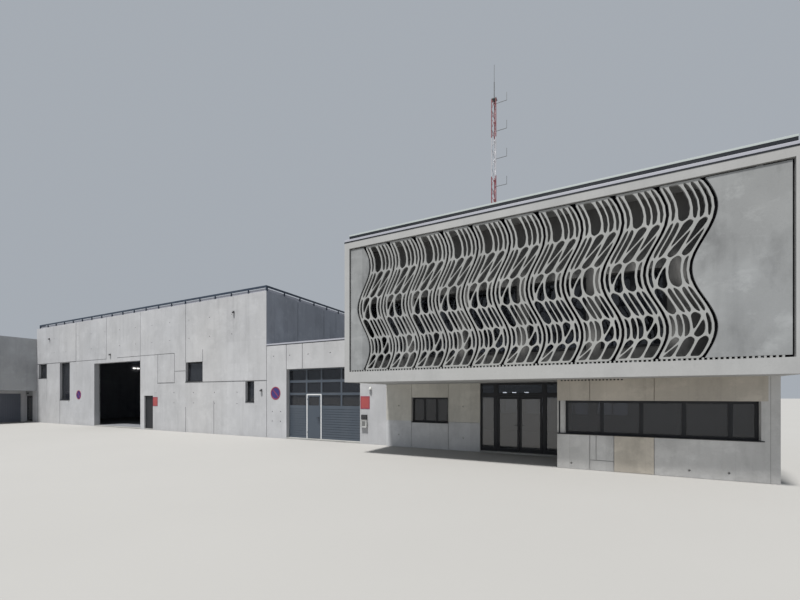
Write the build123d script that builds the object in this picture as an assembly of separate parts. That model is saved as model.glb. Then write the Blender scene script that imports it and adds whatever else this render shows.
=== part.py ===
from build123d import *
import math
import os

# Fire station at half scale. Every length is in millimetres of the model, so 500 mm is a real metre.
# X runs along the front to the right, Y runs into the building, Z is up.
# The origin lies on the ground, in the middle of the whole building's outline.

# Lengths along the front
WING_WIDTH = 3500
HALL_LENGTH = 12500
LINK_LENGTH = 3520
OFFICE_LENGTH = 5930

# Depths, measured from the hall's front face
WING_REACH = 3250
WING_OVERLAP = 2750
HALL_DEPTH = 7000
OFFICE_DEPTH = 4500
OFFICE_REACH = 1600
BAY_REACH = 1070
ENTRANCE_REACH = 75

# Walls, slabs and floors
WALL = 150
SLAB_ON_GROUND = 30
PANEL_JOINT = 2
MOVEMENT_JOINT = 12
CUT_MARGIN = 1
ROD_SIDES = 6

# Heights
HALL_HEIGHT = 3730
HALL_ROOF_DROP = 190
LINK_HEIGHT = 2320
LINK_ROOF_DROP = 110
ROOF_SLAB = 140
SOFFIT = 1290
FIRST_FLOOR_SLAB = 180
OFFICE_ROOF_SLAB = 115
OFFICE_HEIGHT = 3730
FRAME_SIDE = 100
WING_SOFFIT = 1260
WING_SLAB = 140
WING_HEIGHT = 3325
WING_ROOF_DROP = 110

# Openings of the hall's front, measured from the hall's left end, the low window from its right end
BAY_OPENING_LEFT = 4300
BAY_OPENING_WIDTH = 2750
BAY_OPENING_HEIGHT = 2185
HALL_DOOR_LEFT = 7265
HALL_DOOR_WIDTH = 450
TALL_WINDOW = (1850, 750, 900, 1400)
CORNER_WINDOW = (150, 675, 1750, 550)
SQUARE_WINDOW = (9300, 750, 1465, 565)
LOW_WINDOW = (-750, 320, 890, 550)
HALL_BACK_WINDOWS = 3

# Doors
DOOR_HEIGHT = 1060
DOOR_FRAME = 25
DOOR_FRAME_DEPTH = 60
DOOR_SETBACK = 45
LEAF_THICKNESS = 25
LEAF_STILE = 35
DOOR_STOP = 12
HINGE_GAP = 6
LATCH_GAP = 8
MEETING_GAP = 10
SWING_GAP = 6
HINGE_INSET = 80
KNUCKLE_RADIUS = 5
KNUCKLE_HEIGHT = 40
KNUCKLE_PLATE = 3
KNUCKLE_PLATE_REACH = 22
RUNNING_GAP = 0.3
HANDLE_HEIGHT = 520
HANDLE_RADIUS = 5
HANDLE_REACH = 24
HANDLE_LENGTH = 60
HANDLE_INSET = 22

# Sectional door of the link, measured from the link's left end
LINK_OPENING_LEFT = 670
LINK_OPENING_WIDTH = 2145
LINK_OPENING_HEIGHT = 1710
SECTIONAL_SETBACK = 105
SECTIONAL_THICKNESS = 30
GLAZED_ROW = 305
GLAZED_ROWS = 3
SECTIONAL_COLUMNS = 4
WICKET_LEFT = 548
WICKET_WIDTH = 450
SECTIONAL_RAIL = 28
SECTIONAL_STILE = 24

# Bay door of the hall, rolled up under the roof
TRACK_WIDTH = 40
TRACK_DEPTH = 30
RAISED_DOOR_LEVEL = 2290
RAISED_DOOR_THICKNESS = 40
RAISED_DOOR_RUN = 2300
RAISED_DOOR_SECTIONS = 7

# Windows
WINDOW_FRAME = 25
WINDOW_FRAME_DEPTH = 35
WINDOW_SETBACK = 75
GLASS = 12

# Ground floor of the office, measured from the office's left end
SMALL_WINDOW = (585, 785, 520, 500)
SMALL_WINDOW_LIGHTS = 3
GLAZING_LEFT = 2000
GLAZING_WIDTH = 1420
GLAZING_EDGE = 25
GLAZING_POST = 65
SIDELIGHT = 230
TRANSOM = 60
GLAZING_BOTTOM_RAIL = 60
GLAZING_DEPTH = 50
STRIP_WINDOW = (3530, 2175, 500, 485)
STRIP_WINDOW_LIGHTS = 5
STRIP_WINDOW_LIGHT = 476

# Upper floor of the office
SCREEN_SETBACK = 40
SCREEN_THICKNESS = 30
SCREEN_CAVITY = 255
SCREEN_EDGE_GAP = 15
LATTICE_BANDS = 10
LATTICE_PITCH = 465
LATTICE_LEFT = 290
LATTICE_SHADOW_JOINT = 24
LATTICE_ROWS = 6
LATTICE_CELLS_ACROSS = 3
LATTICE_STRUT = 24
LATTICE_BORDER = 26
LATTICE_TIP = 26
LATTICE_ROW_GROWTH = 1.13
LATTICE_OUTLINE_STEPS = 10
LATTICE_SWAY = 120
LATTICE_WAVES = 1.5
FIXING_LENGTH = 60
SCREEN_WINDOW = (265, 750, 1700, 1000)
SCREEN_WINDOW_PITCH = 930
SCREEN_WINDOWS = 5
SCREEN_WINDOW_LIGHTS = 2

# Roof edges
COPING = 50
COPING_WIDTH = 175
UPSTAND_SETBACK = 60
UPSTAND = 97
UPSTAND_WIDTH = 60
HALL_COPING = 95
HALL_COPING_WIDTH = 45
RAIL_HEIGHT = 165
RAIL_DEPTH = 30
RAIL_BAND = 50
RAIL_POST = 26
RAIL_POST_PITCH = 640

# Mast
MAST_FROM_OFFICE_LEFT = 1600
MAST_FROM_HALL_FRONT = 2850
MAST_FACE = 132
MAST_LEG = 20
MAST_BRACE = 10
MAST_SECTION = 1007
MAST_SECTION_BAYS = 4
MAST_SECTIONS = 5
MAST_HEAD = 470
ANTENNA_ARM = 270
ANTENNA_DROP = 150
ANTENNA_ROD = 10
ANTENNA_LENGTH = 200
ANTENNA_PITCH = 715
ANTENNAS = 4
WHIP_RADIUS = 6
WHIP_LENGTH = 450

# Wing, its openings measured from the hall's front face or the wing's right face
WING_GARAGE_SETBACK = 1005
GARAGE_DOOR_WIDTH = 1300
GARAGE_DOOR_HEIGHT = 1150
GARAGE_DOOR_PITCH = 1500
GARAGE_DOORS = 2
GARAGE_FIRST_PIER = 135
WING_DOOR_WIDTH = 620
WING_WINDOW = (600, 750, 2000, 565)
WING_WINDOWS = 3

# Small fittings, each place given along the wall and up it
LAMP_SIZE = 60
LAMP_HEIGHT = 90
HALL_LAMPS = ((1060, 3266), (5330, 2451))
HALL_RIGHT_LAMPS = ((-1180, 3299), (-165, 1196))
PIER_LAMP = (-430, 1218)
WING_LAMP = (-735, 1165)
PLATE_SIZE = (200, 240)
PLATE_THICKNESS = 6
HALL_PLATE = (7840, 880)
PIER_PLATE = (-573, 907)
DISC_RADIUS = 162
DISC_SIDES = 24
HALL_DISC = (3245, 1094)
LINK_DISC = (315, 1120)
INTERCOM_SIZE = (155, 275)
INTERCOM_DEPTH = 60
INTERCOM = (-583, 502)

# Places worked out from the sizes above
TOTAL_LENGTH = WING_WIDTH + HALL_LENGTH + LINK_LENGTH + OFFICE_LENGTH
TOTAL_DEPTH = WING_REACH + HALL_DEPTH
WING_LEFT = -TOTAL_LENGTH / 2
HALL_LEFT = WING_LEFT + WING_WIDTH
LINK_LEFT = HALL_LEFT + HALL_LENGTH
OFFICE_LEFT = LINK_LEFT + LINK_LENGTH
OFFICE_RIGHT = OFFICE_LEFT + OFFICE_LENGTH
WING_FRONT = -TOTAL_DEPTH / 2
HALL_FRONT = WING_FRONT + WING_REACH
HALL_BACK = HALL_FRONT + HALL_DEPTH
OFFICE_BACK = HALL_FRONT + OFFICE_DEPTH
OFFICE_FRONT = HALL_FRONT - OFFICE_REACH
BAY_FRONT = HALL_FRONT - BAY_REACH
ENTRANCE_FRONT = HALL_FRONT - ENTRANCE_REACH
WING_BACK = HALL_FRONT + WING_OVERLAP
FIRST_FLOOR = SOFFIT + FIRST_FLOOR_SLAB
OFFICE_CEILING = OFFICE_HEIGHT - OFFICE_ROOF_SLAB
BAY_LEFT = OFFICE_LEFT + GLAZING_LEFT + GLAZING_WIDTH
GROUND_RIGHT = OFFICE_RIGHT - FRAME_SIDE / 2


# Plain pieces

def block(x, y, z):
    """A box between two x, two y and two z values."""
    size = Box(x[1] - x[0], y[1] - y[0], z[1] - z[0])
    return Pos((x[0] + x[1]) / 2, (y[0] + y[1]) / 2, (z[0] + z[1]) / 2) * size


def wider(span):
    """A range that a cut goes through, a little past both of its ends."""
    return span[0] - CUT_MARGIN, span[1] + CUT_MARGIN


def upright(radius, x, y, z):
    """A thin rod with flat sides from z[0] up to z[1]."""
    return extrude(Pos(x, y, z[0]) * RegularPolygon(radius, ROD_SIDES), amount=z[1] - z[0])


def node(*pieces):
    """Several pieces that don't touch, kept in one node."""
    return Compound([solid for piece in pieces for solid in piece.solids()])


def span(opening, base):
    """The x and z ranges of an opening given as left, width, sill and height."""
    left, width, sill, height = opening
    return (base + left, base + left + width), (sill, sill + height)


def window_frame(x, z, face, inward=1, mullions=()):
    """A window's frame with its mullions, set back from the wall's outer face."""
    near = face + inward * WINDOW_SETBACK
    far = near + inward * WINDOW_FRAME_DEPTH
    y = (min(near, far), max(near, far))
    frame = block(x, y, z)
    edges = [x[0]] + [bar for bar in mullions] + [x[1]]
    for index in range(len(edges) - 1):
        light = light_span(edges, index)
        height = (z[0] + WINDOW_FRAME, z[1] - WINDOW_FRAME)
        frame -= block(light, wider(y), height)
    return frame


def light_span(edges, index):
    """The clear width of one light between two edges or mullions."""
    last = len(edges) - 2
    left = edges[index] + (WINDOW_FRAME if index == 0 else WINDOW_FRAME / 2)
    right = edges[index + 1] - (WINDOW_FRAME if index == last else WINDOW_FRAME / 2)
    return left, right


def window_panes(x, z, face, inward=1, mullions=()):
    """One pane for each light of a window."""
    middle = face + inward * (WINDOW_SETBACK + WINDOW_FRAME_DEPTH / 2)
    y = (middle - GLASS / 2, middle + GLASS / 2)
    edges = [x[0]] + [bar for bar in mullions] + [x[1]]
    height = (z[0] + WINDOW_FRAME, z[1] - WINDOW_FRAME)
    return [block(light_span(edges, index), y, height) for index in range(len(edges) - 1)]


def knuckle(x, face, z, side):
    """Half of a hinge: a barrel on the axis, and the plate that holds it to the face beside it."""
    barrel = upright(KNUCKLE_RADIUS, x, face - KNUCKLE_RADIUS, z)
    reach = x + side * KNUCKLE_PLATE_REACH
    return barrel + block((min(x, reach), max(x, reach)), (face - KNUCKLE_PLATE, face), z)


def hinge_levels(z):
    """The lower level of each hinge on a leaf."""
    return z[0] + HINGE_INSET, z[1] - HINGE_INSET - 2 * KNUCKLE_HEIGHT


def hung_leaf(x, z, face, hinge_side, glazed_from=None, stile=LEAF_STILE):
    """A door leaf with its halves of the hinges and a handle, and the pane that it holds."""
    y = (face, face + LEAF_THICKNESS)
    leaf = block(x, y, z)
    pane = None
    if glazed_from is not None:
        light_x = (x[0] + stile, x[1] - stile)
        light_z = (glazed_from, z[1] - stile)
        leaf -= block(light_x, wider(y), light_z)
        middle = (y[0] + y[1]) / 2
        pane = block(light_x, (middle - GLASS / 2, middle + GLASS / 2), light_z)
    edge = x[0] if hinge_side < 0 else x[1]
    axis = edge + hinge_side * HINGE_GAP / 2
    for level in hinge_levels(z):
        low = level + KNUCKLE_HEIGHT + RUNNING_GAP
        leaf += knuckle(axis, face, (low, low + KNUCKLE_HEIGHT), -hinge_side)
    grip = x[1] - HANDLE_INSET if hinge_side < 0 else x[0] + HANDLE_INSET
    inner = grip + hinge_side * HANDLE_LENGTH
    height = (HANDLE_HEIGHT - HANDLE_RADIUS, HANDLE_HEIGHT + HANDLE_RADIUS)
    leaf += block((grip - HANDLE_RADIUS, grip + HANDLE_RADIUS), (face - HANDLE_REACH, face), height)
    ends = (min(grip, inner), max(grip, inner))
    leaf += block(ends, (face - HANDLE_REACH, face - HANDLE_REACH + 2 * HANDLE_RADIUS), height)
    return leaf, pane


def frame_hinges(axis, face, z, side):
    """The frame's halves of a leaf's hinges."""
    halves = [knuckle(axis, face, (low, low + KNUCKLE_HEIGHT), side) for low in hinge_levels(z)]
    return halves[0] + halves[1]


def single_door(x, top, face, hinge_side, glazed_from=None, depth=DOOR_FRAME_DEPTH):
    """A hinged door in its frame: the frame, the leaf and the leaf's pane."""
    z = (SLAB_ON_GROUND, top)
    y = (face, face + depth)
    inside = (x[0] + DOOR_FRAME, x[1] - DOOR_FRAME)
    frame = block(x, y, z)
    foot = z[0] - CUT_MARGIN
    frame -= block(inside, wider(y), (foot, top - DOOR_FRAME))
    stop_y = (face + LEAF_THICKNESS + SWING_GAP, y[1])
    stop = block(inside, stop_y, (z[0], top - DOOR_FRAME))
    clear = (inside[0] + DOOR_STOP, inside[1] - DOOR_STOP)
    stop -= block(clear, wider(stop_y), (foot, top - DOOR_FRAME - DOOR_STOP))
    left_gap = HINGE_GAP if hinge_side < 0 else LATCH_GAP
    right_gap = LATCH_GAP if hinge_side < 0 else HINGE_GAP
    leaf_x = (inside[0] + left_gap, inside[1] - right_gap)
    leaf_z = (z[0] + SWING_GAP, top - DOOR_FRAME - SWING_GAP)
    leaf, pane = hung_leaf(leaf_x, leaf_z, face, hinge_side, glazed_from)
    edge = leaf_x[0] if hinge_side < 0 else leaf_x[1]
    axis = edge + hinge_side * HINGE_GAP / 2
    frame = frame + stop + frame_hinges(axis, face, leaf_z, hinge_side)
    return frame, leaf, pane


# Windows of the whole building: x range, z range, outer face, direction inwards, mullions

def evenly(x, lights):
    """The mullions that divide a window into equal lights."""
    return tuple(x[0] + (x[1] - x[0]) * step / lights for step in range(1, lights))


def hall_windows():
    front = []
    for opening, base in ((TALL_WINDOW, HALL_LEFT), (CORNER_WINDOW, HALL_LEFT),
                          (SQUARE_WINDOW, HALL_LEFT), (LOW_WINDOW, LINK_LEFT)):
        x, z = span(opening, base)
        front.append((x, z, HALL_FRONT, 1, ()))
    return front


def hall_back_windows():
    found = []
    pitch = HALL_LENGTH / (HALL_BACK_WINDOWS + 1)
    width, sill, height = SQUARE_WINDOW[1:]
    for step in range(1, HALL_BACK_WINDOWS + 1):
        x = (HALL_LEFT + step * pitch - width / 2, HALL_LEFT + step * pitch + width / 2)
        found.append((x, (sill, sill + height), HALL_BACK, -1, ()))
    return found


def office_front_windows():
    x, z = span(SMALL_WINDOW, OFFICE_LEFT)
    small = (x, z, ENTRANCE_FRONT, 1, evenly(x, SMALL_WINDOW_LIGHTS))
    x, z = span(STRIP_WINDOW, OFFICE_LEFT)
    bars = tuple(x[0] + step * STRIP_WINDOW_LIGHT for step in range(1, STRIP_WINDOW_LIGHTS))
    strip = (x, z, BAY_FRONT, 1, bars)
    return small, strip


def screen_windows():
    found = []
    for step in range(SCREEN_WINDOWS):
        x, z = span(SCREEN_WINDOW, OFFICE_LEFT + step * SCREEN_WINDOW_PITCH)
        found.append((x, z, screen_wall_face(), 1, evenly(x, SCREEN_WINDOW_LIGHTS)))
    return found


def office_back_windows(sill, height):
    found = []
    for step in range(SCREEN_WINDOWS):
        x, _ = span(SCREEN_WINDOW, OFFICE_LEFT + step * SCREEN_WINDOW_PITCH)
        found.append((x, (sill, sill + height), OFFICE_BACK, -1, evenly(x, SCREEN_WINDOW_LIGHTS)))
    return found


def screen_wall_face():
    """Outer face of the wall behind the screen."""
    return OFFICE_FRONT + SCREEN_SETBACK + SCREEN_THICKNESS + SCREEN_CAVITY


def cut_windows(wall, windows):
    for x, z, face, inward, _ in windows:
        wall -= block(x, (face - 2 * WALL, face + 2 * WALL), z)
    return wall


def frames_of(windows):
    return [window_frame(x, z, face, inward, bars) for x, z, face, inward, bars in windows]


def panes_of(windows):
    return [pane for x, z, face, inward, bars in windows
            for pane in window_panes(x, z, face, inward, bars)]


# Hall

def hall():
    front = (HALL_FRONT, HALL_FRONT + WALL)
    height = (0, HALL_HEIGHT)
    bay_left = HALL_LEFT + BAY_OPENING_LEFT
    bay_right = bay_left + BAY_OPENING_WIDTH
    door_left = HALL_LEFT + HALL_DOOR_LEFT
    door_right = door_left + HALL_DOOR_WIDTH
    inner_y = (HALL_FRONT + WALL, HALL_BACK - WALL)
    left = block((HALL_LEFT, bay_left), front, height)
    right = block((door_right, LINK_LEFT), front, height)
    roof_top = HALL_HEIGHT - HALL_ROOF_DROP
    inner_x = (HALL_LEFT + WALL, LINK_LEFT - WALL)
    parts = {
        "hall_front_wall_left": cut_windows(left, hall_windows()[:2]),
        "hall_front_wall_right": cut_windows(right, hall_windows()[2:]),
        "hall_door_pier": block((bay_right, door_left), front, height),
        "hall_side_walls": node(
            block((HALL_LEFT, HALL_LEFT + WALL), (inner_y[0], HALL_BACK - WALL), height),
            block((LINK_LEFT - WALL, LINK_LEFT), (inner_y[0], HALL_BACK - WALL), height)),
        "hall_back_wall": cut_windows(
            block((HALL_LEFT, LINK_LEFT), (HALL_BACK - WALL, HALL_BACK), height), hall_back_windows()),
        "hall_roof": block(inner_x, inner_y, (roof_top - ROOF_SLAB, roof_top)),
        "hall_roof_rail": hall_rail(),
    }
    frame, leaf, _ = single_door((door_left, door_right), DOOR_HEIGHT, HALL_FRONT + DOOR_SETBACK, -1)
    parts["hall_door"] = leaf
    lintels = [
        block((bay_left, bay_right), front, (BAY_OPENING_HEIGHT, HALL_HEIGHT)),
        block((door_left, door_right), front, (DOOR_HEIGHT, HALL_HEIGHT)),
    ]
    parts["hall_bay_tracks"], parts["hall_bay_door"] = bay_door(bay_left, bay_right, roof_top)
    behind_rail = WALL / 2 + RAIL_DEPTH / 2
    coping_x = (HALL_LEFT + behind_rail, LINK_LEFT - behind_rail)
    coping_y = (HALL_FRONT + behind_rail, HALL_BACK - behind_rail)
    copings = ring_bars(coping_x, coping_y, (HALL_HEIGHT, HALL_HEIGHT + HALL_COPING), HALL_COPING_WIDTH)
    return parts, lintels, frame, copings


def rail_side(start, stop, across, along_x):
    """One straight side of the roof rail: short posts under a flat band."""
    low, high = HALL_HEIGHT, HALL_HEIGHT + RAIL_HEIGHT
    reach = (across - RAIL_DEPTH / 2, across + RAIL_DEPTH / 2)
    band = (high - RAIL_BAND, high)
    side = block((start, stop), reach, band) if along_x else block(reach, (start, stop), band)
    posts = round((stop - start) / RAIL_POST_PITCH)
    pitch = (stop - start - RAIL_POST) / posts
    for step in range(posts + 1):
        near = start + step * pitch
        run = (near, near + RAIL_POST)
        foot = block(run, reach, (low, band[0])) if along_x else block(reach, run, (low, band[0]))
        side += foot
    return side


def hall_rail():
    inset = WALL / 2
    corner = inset + RAIL_DEPTH / 2 + PANEL_JOINT
    x = (HALL_LEFT + inset - RAIL_DEPTH / 2, LINK_LEFT - inset + RAIL_DEPTH / 2)
    y = (HALL_FRONT + corner, HALL_BACK - corner)
    return node(
        rail_side(x[0], x[1], HALL_FRONT + inset, True),
        rail_side(x[0], x[1], HALL_BACK - inset, True),
        rail_side(y[0], y[1], HALL_LEFT + inset, False),
        rail_side(y[0], y[1], LINK_LEFT - inset, False))


def bay_door(left, right, roof_top):
    """The vehicle bay's door, raised on its tracks, and the tracks themselves."""
    inner = HALL_FRONT + WALL
    door_y = (inner + TRACK_DEPTH, inner + TRACK_DEPTH + RAISED_DOOR_RUN)
    level = (RAISED_DOOR_LEVEL, RAISED_DOOR_LEVEL + RAISED_DOOR_THICKNESS)
    tracks = []
    for inside, side in ((left, -1), (right, 1)):
        x = (min(inside, inside + side * TRACK_WIDTH), max(inside, inside + side * TRACK_WIDTH))
        post = block(x, (inner, inner + TRACK_DEPTH), (SLAB_ON_GROUND, level[1]))
        beam = block(x, (inner, door_y[1]), level)
        hanger = block(x, (door_y[1] - TRACK_DEPTH, door_y[1]), (level[1], roof_top - ROOF_SLAB))
        tracks.append(post + beam + hanger)
    sections = []
    run = RAISED_DOOR_RUN / RAISED_DOOR_SECTIONS
    for step in range(RAISED_DOOR_SECTIONS):
        near = door_y[0] + step * run
        sections.append(block((left, right), (near, near + run - PANEL_JOINT), level))
    return node(*tracks), node(*sections)


# Link

def link():
    front = (HALL_FRONT, HALL_FRONT + WALL)
    height = (0, LINK_HEIGHT)
    opening_left = LINK_LEFT + LINK_OPENING_LEFT
    opening_right = opening_left + LINK_OPENING_WIDTH
    roof_top = LINK_HEIGHT - LINK_ROOF_DROP
    back = (OFFICE_BACK - WALL, OFFICE_BACK)
    parts = {
        "link_front_walls": node(block((LINK_LEFT + MOVEMENT_JOINT, opening_left), front, height),
                                 block((opening_right, OFFICE_LEFT), front, height)),
        "link_back_wall": block((LINK_LEFT, OFFICE_LEFT), back, height),
        "link_roof": block((LINK_LEFT, OFFICE_LEFT), (front[1], back[0]),
                           (roof_top - ROOF_SLAB, roof_top)),
    }
    lintel = block((opening_left, opening_right), front, (LINK_OPENING_HEIGHT, LINK_HEIGHT))
    door, panes = sectional_door(opening_left, opening_right)
    parts["sectional_door"] = door
    wicket_x = (opening_left + WICKET_LEFT, opening_left + WICKET_LEFT + WICKET_WIDTH)
    glazed_from = glazed_bottom() + SECTIONAL_RAIL
    parts["wicket_frame"], parts["wicket_door"], parts["wicket_glass"] = single_door(
        wicket_x, wicket_top(), HALL_FRONT + SECTIONAL_SETBACK - PANEL_JOINT, -1, glazed_from,
        SECTIONAL_THICKNESS + PANEL_JOINT)
    copings = [block((LINK_LEFT, OFFICE_LEFT), front, (LINK_HEIGHT, LINK_HEIGHT + COPING)),
               block((LINK_LEFT, OFFICE_LEFT), back, (LINK_HEIGHT, LINK_HEIGHT + COPING))]
    return parts, lintel, copings, panes


def glazed_bottom():
    return LINK_OPENING_HEIGHT - GLAZED_ROWS * GLAZED_ROW


def wicket_top():
    return glazed_bottom() + GLAZED_ROW - PANEL_JOINT


def column_edges(left, right):
    """The sides of the glazed columns, where the second is the wicket door's."""
    wicket = left + WICKET_LEFT
    rest = wicket + WICKET_WIDTH
    return left, wicket, rest, (rest + right) / 2, right


def sectional_door(left, right):
    """The closed sectional door: glazed sections over the two parts beside the wicket door."""
    y = (HALL_FRONT + SECTIONAL_SETBACK, HALL_FRONT + SECTIONAL_SETBACK + SECTIONAL_THICKNESS)
    middle = (y[0] + y[1]) / 2
    edges = column_edges(left, right)
    pieces = []
    panes = []
    for row in range(GLAZED_ROWS - 1):
        top = LINK_OPENING_HEIGHT - row * GLAZED_ROW
        z = (top - GLAZED_ROW + PANEL_JOINT, top)
        section = block((left, right), y, z)
        for column in range(SECTIONAL_COLUMNS):
            light_x = (edges[column] + SECTIONAL_STILE, edges[column + 1] - SECTIONAL_STILE)
            light_z = (z[0] + SECTIONAL_RAIL, z[1] - SECTIONAL_RAIL)
            section -= block(light_x, wider(y), light_z)
            panes.append(block(light_x, (middle - GLASS / 2, middle + GLASS / 2), light_z))
        pieces.append(section)
    low_top = glazed_bottom() + GLAZED_ROW
    for first, last in ((0, 1), (2, SECTIONAL_COLUMNS)):
        side = block((edges[first], edges[last]), y, (SLAB_ON_GROUND, low_top))
        for column in range(first, last):
            light_x = (edges[column] + SECTIONAL_STILE, edges[column + 1] - SECTIONAL_STILE)
            light_z = (glazed_bottom() + SECTIONAL_RAIL, low_top - SECTIONAL_RAIL)
            side -= block(light_x, wider(y), light_z)
            panes.append(block(light_x, (middle - GLASS / 2, middle + GLASS / 2), light_z))
        pieces.append(side)
    return node(*pieces), panes


# Office

def office():
    ground = (0, SOFFIT)
    upper = (FIRST_FLOOR, OFFICE_CEILING)
    wall_y = (ENTRANCE_FRONT, ENTRANCE_FRONT + WALL)
    back = (OFFICE_BACK - WALL, OFFICE_BACK)
    inner_wall = (screen_wall_face(), screen_wall_face() + WALL)
    glazing_left = OFFICE_LEFT + GLAZING_LEFT
    small, strip = office_front_windows()
    side_y = (OFFICE_FRONT, OFFICE_BACK)
    within = (OFFICE_LEFT + FRAME_SIDE, OFFICE_RIGHT - FRAME_SIDE)
    ground_within = (OFFICE_LEFT + WALL, GROUND_RIGHT - WALL)
    parts = {
        "entrance_wall": cut_windows(block((OFFICE_LEFT, glazing_left), wall_y, ground), [small]),
        "bay_front_wall": cut_windows(
            block((BAY_LEFT, GROUND_RIGHT), (BAY_FRONT, BAY_FRONT + WALL), ground), [strip]),
        "bay_return_wall": block((BAY_LEFT, BAY_LEFT + WALL), (BAY_FRONT + WALL, wall_y[1]), ground),
        "office_ground_side_walls": node(
            block((OFFICE_LEFT, OFFICE_LEFT + WALL), (wall_y[1], OFFICE_BACK), ground),
            block((GROUND_RIGHT - WALL, GROUND_RIGHT), (BAY_FRONT + WALL, OFFICE_BACK), ground)),
        "office_ground_back_wall": cut_windows(
            block(ground_within, back, ground), office_back_windows(SMALL_WINDOW[2], SMALL_WINDOW[3])),
        "first_floor": block((OFFICE_LEFT, OFFICE_RIGHT), side_y, (SOFFIT, FIRST_FLOOR)),
        "office_upper_side_walls": node(block((OFFICE_LEFT, within[0]), side_y, upper),
                                        block((within[1], OFFICE_RIGHT), side_y, upper)),
        "office_upper_back_wall": cut_windows(
            block(within, back, upper), office_back_windows(SCREEN_WINDOW[2], SCREEN_WINDOW[3])),
        "screen_back_wall": cut_windows(block(within, inner_wall, upper), screen_windows()),
        "office_roof": block((OFFICE_LEFT, OFFICE_RIGHT), side_y, (OFFICE_CEILING, OFFICE_HEIGHT)),
    }
    coping, parts["office_roof_upstand"] = roof_edge()
    frame, panes, doors = entrance()
    parts["entrance_frame"] = frame
    parts.update(doors)
    return parts, coping, panes


def ring_bars(x, y, z, width):
    """Four straight bars round a rectangle, with an open joint at each corner."""
    inner_y = (y[0] + width + PANEL_JOINT, y[1] - width - PANEL_JOINT)
    return [block(x, (y[0], y[0] + width), z), block(x, (y[1] - width, y[1]), z),
            block((x[0], x[0] + width), inner_y, z), block((x[1] - width, x[1]), inner_y, z)]


def roof_edge():
    """The pale coping on the roof slab and the dark upstand with its cap behind it."""
    x = (OFFICE_LEFT, OFFICE_RIGHT)
    y = (OFFICE_FRONT, OFFICE_BACK)
    coping = ring_bars(x, y, (OFFICE_HEIGHT, OFFICE_HEIGHT + COPING), COPING_WIDTH)
    x = (x[0] + UPSTAND_SETBACK, x[1] - UPSTAND_SETBACK)
    y = (y[0] + UPSTAND_SETBACK, y[1] - UPSTAND_SETBACK)
    base = OFFICE_HEIGHT + COPING
    upstand = ring_bars(x, y, (base, base + UPSTAND), UPSTAND_WIDTH)
    return coping, node(*upstand)


def entrance():
    """The entrance glazing: sidelights, transom lights and two hinged glass doors."""
    left = OFFICE_LEFT + GLAZING_LEFT
    right = left + GLAZING_WIDTH
    face = ENTRANCE_FRONT + DOOR_SETBACK
    y = (face, face + GLAZING_DEPTH)
    cut_y = wider(y)
    glass_y = (face + GLAZING_DEPTH / 2 - GLASS / 2, face + GLAZING_DEPTH / 2 + GLASS / 2)
    post_left = (left + GLAZING_EDGE + SIDELIGHT, left + GLAZING_EDGE + SIDELIGHT + GLAZING_POST)
    post_right = (right - GLAZING_EDGE - SIDELIGHT - GLAZING_POST, right - GLAZING_EDGE - SIDELIGHT)
    transom = (DOOR_HEIGHT - DOOR_FRAME, DOOR_HEIGHT - DOOR_FRAME + TRANSOM)
    doorway = (post_left[1], post_right[0])
    frame = block((left, right), y, (SLAB_ON_GROUND, SOFFIT))
    frame -= block(doorway, cut_y, (SLAB_ON_GROUND - CUT_MARGIN, transom[0]))
    panes = []
    top = SOFFIT - GLAZING_EDGE
    low_z = (SLAB_ON_GROUND + GLAZING_BOTTOM_RAIL, transom[0])
    lights = [((left + GLAZING_EDGE, post_left[0]), low_z), ((post_right[1], right - GLAZING_EDGE), low_z)]
    for x in ((left + GLAZING_EDGE, post_left[0]), doorway, (post_right[1], right - GLAZING_EDGE)):
        lights.append((x, (transom[1], top)))
    for x, z in lights:
        frame -= block(x, cut_y, z)
        panes.append(block(x, glass_y, z))
    leaf_z = (SLAB_ON_GROUND + SWING_GAP, transom[0] - SWING_GAP)
    leaf_width = (doorway[1] - doorway[0] - 2 * HINGE_GAP - MEETING_GAP) / 2
    left_x = (doorway[0] + HINGE_GAP, doorway[0] + HINGE_GAP + leaf_width)
    right_x = (doorway[1] - HINGE_GAP - leaf_width, doorway[1] - HINGE_GAP)
    glazed_from = leaf_z[0] + GLAZING_BOTTOM_RAIL
    left_leaf, left_pane = hung_leaf(left_x, leaf_z, face, -1, glazed_from)
    right_leaf, right_pane = hung_leaf(right_x, leaf_z, face, 1, glazed_from)
    frame += frame_hinges(doorway[0] + HINGE_GAP / 2, face, leaf_z, -1)
    frame += frame_hinges(doorway[1] - HINGE_GAP / 2, face, leaf_z, 1)
    doors = {"entrance_door_left": left_leaf, "entrance_glass_left": left_pane,
             "entrance_door_right": right_leaf, "entrance_glass_right": right_pane}
    return frame, panes, doors


# Lattice screen in the upper floor's frame

def screen_z():
    return FIRST_FLOOR + SCREEN_EDGE_GAP, OFFICE_CEILING - SCREEN_EDGE_GAP


def sway(level):
    """How far the bands stand to the side at a level from 0 at the foot to 1 at the top."""
    return LATTICE_SWAY * math.sin(2 * math.pi * LATTICE_WAVES * level)


def band_point(across, level):
    """A point of a band: across from 0 to 1 over its width, level from 0 to 1 up the screen."""
    low, high = screen_z()
    return LATTICE_PITCH * across + sway(level), low + (high - low) * level


def row_levels():
    """The levels between the rows of cells, which grow taller towards the top."""
    heights = [LATTICE_ROW_GROWTH ** row for row in range(LATTICE_ROWS)]
    total = sum(heights)
    levels = [0]
    for height in heights:
        levels.append(levels[-1] + height / total)
    return levels


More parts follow.
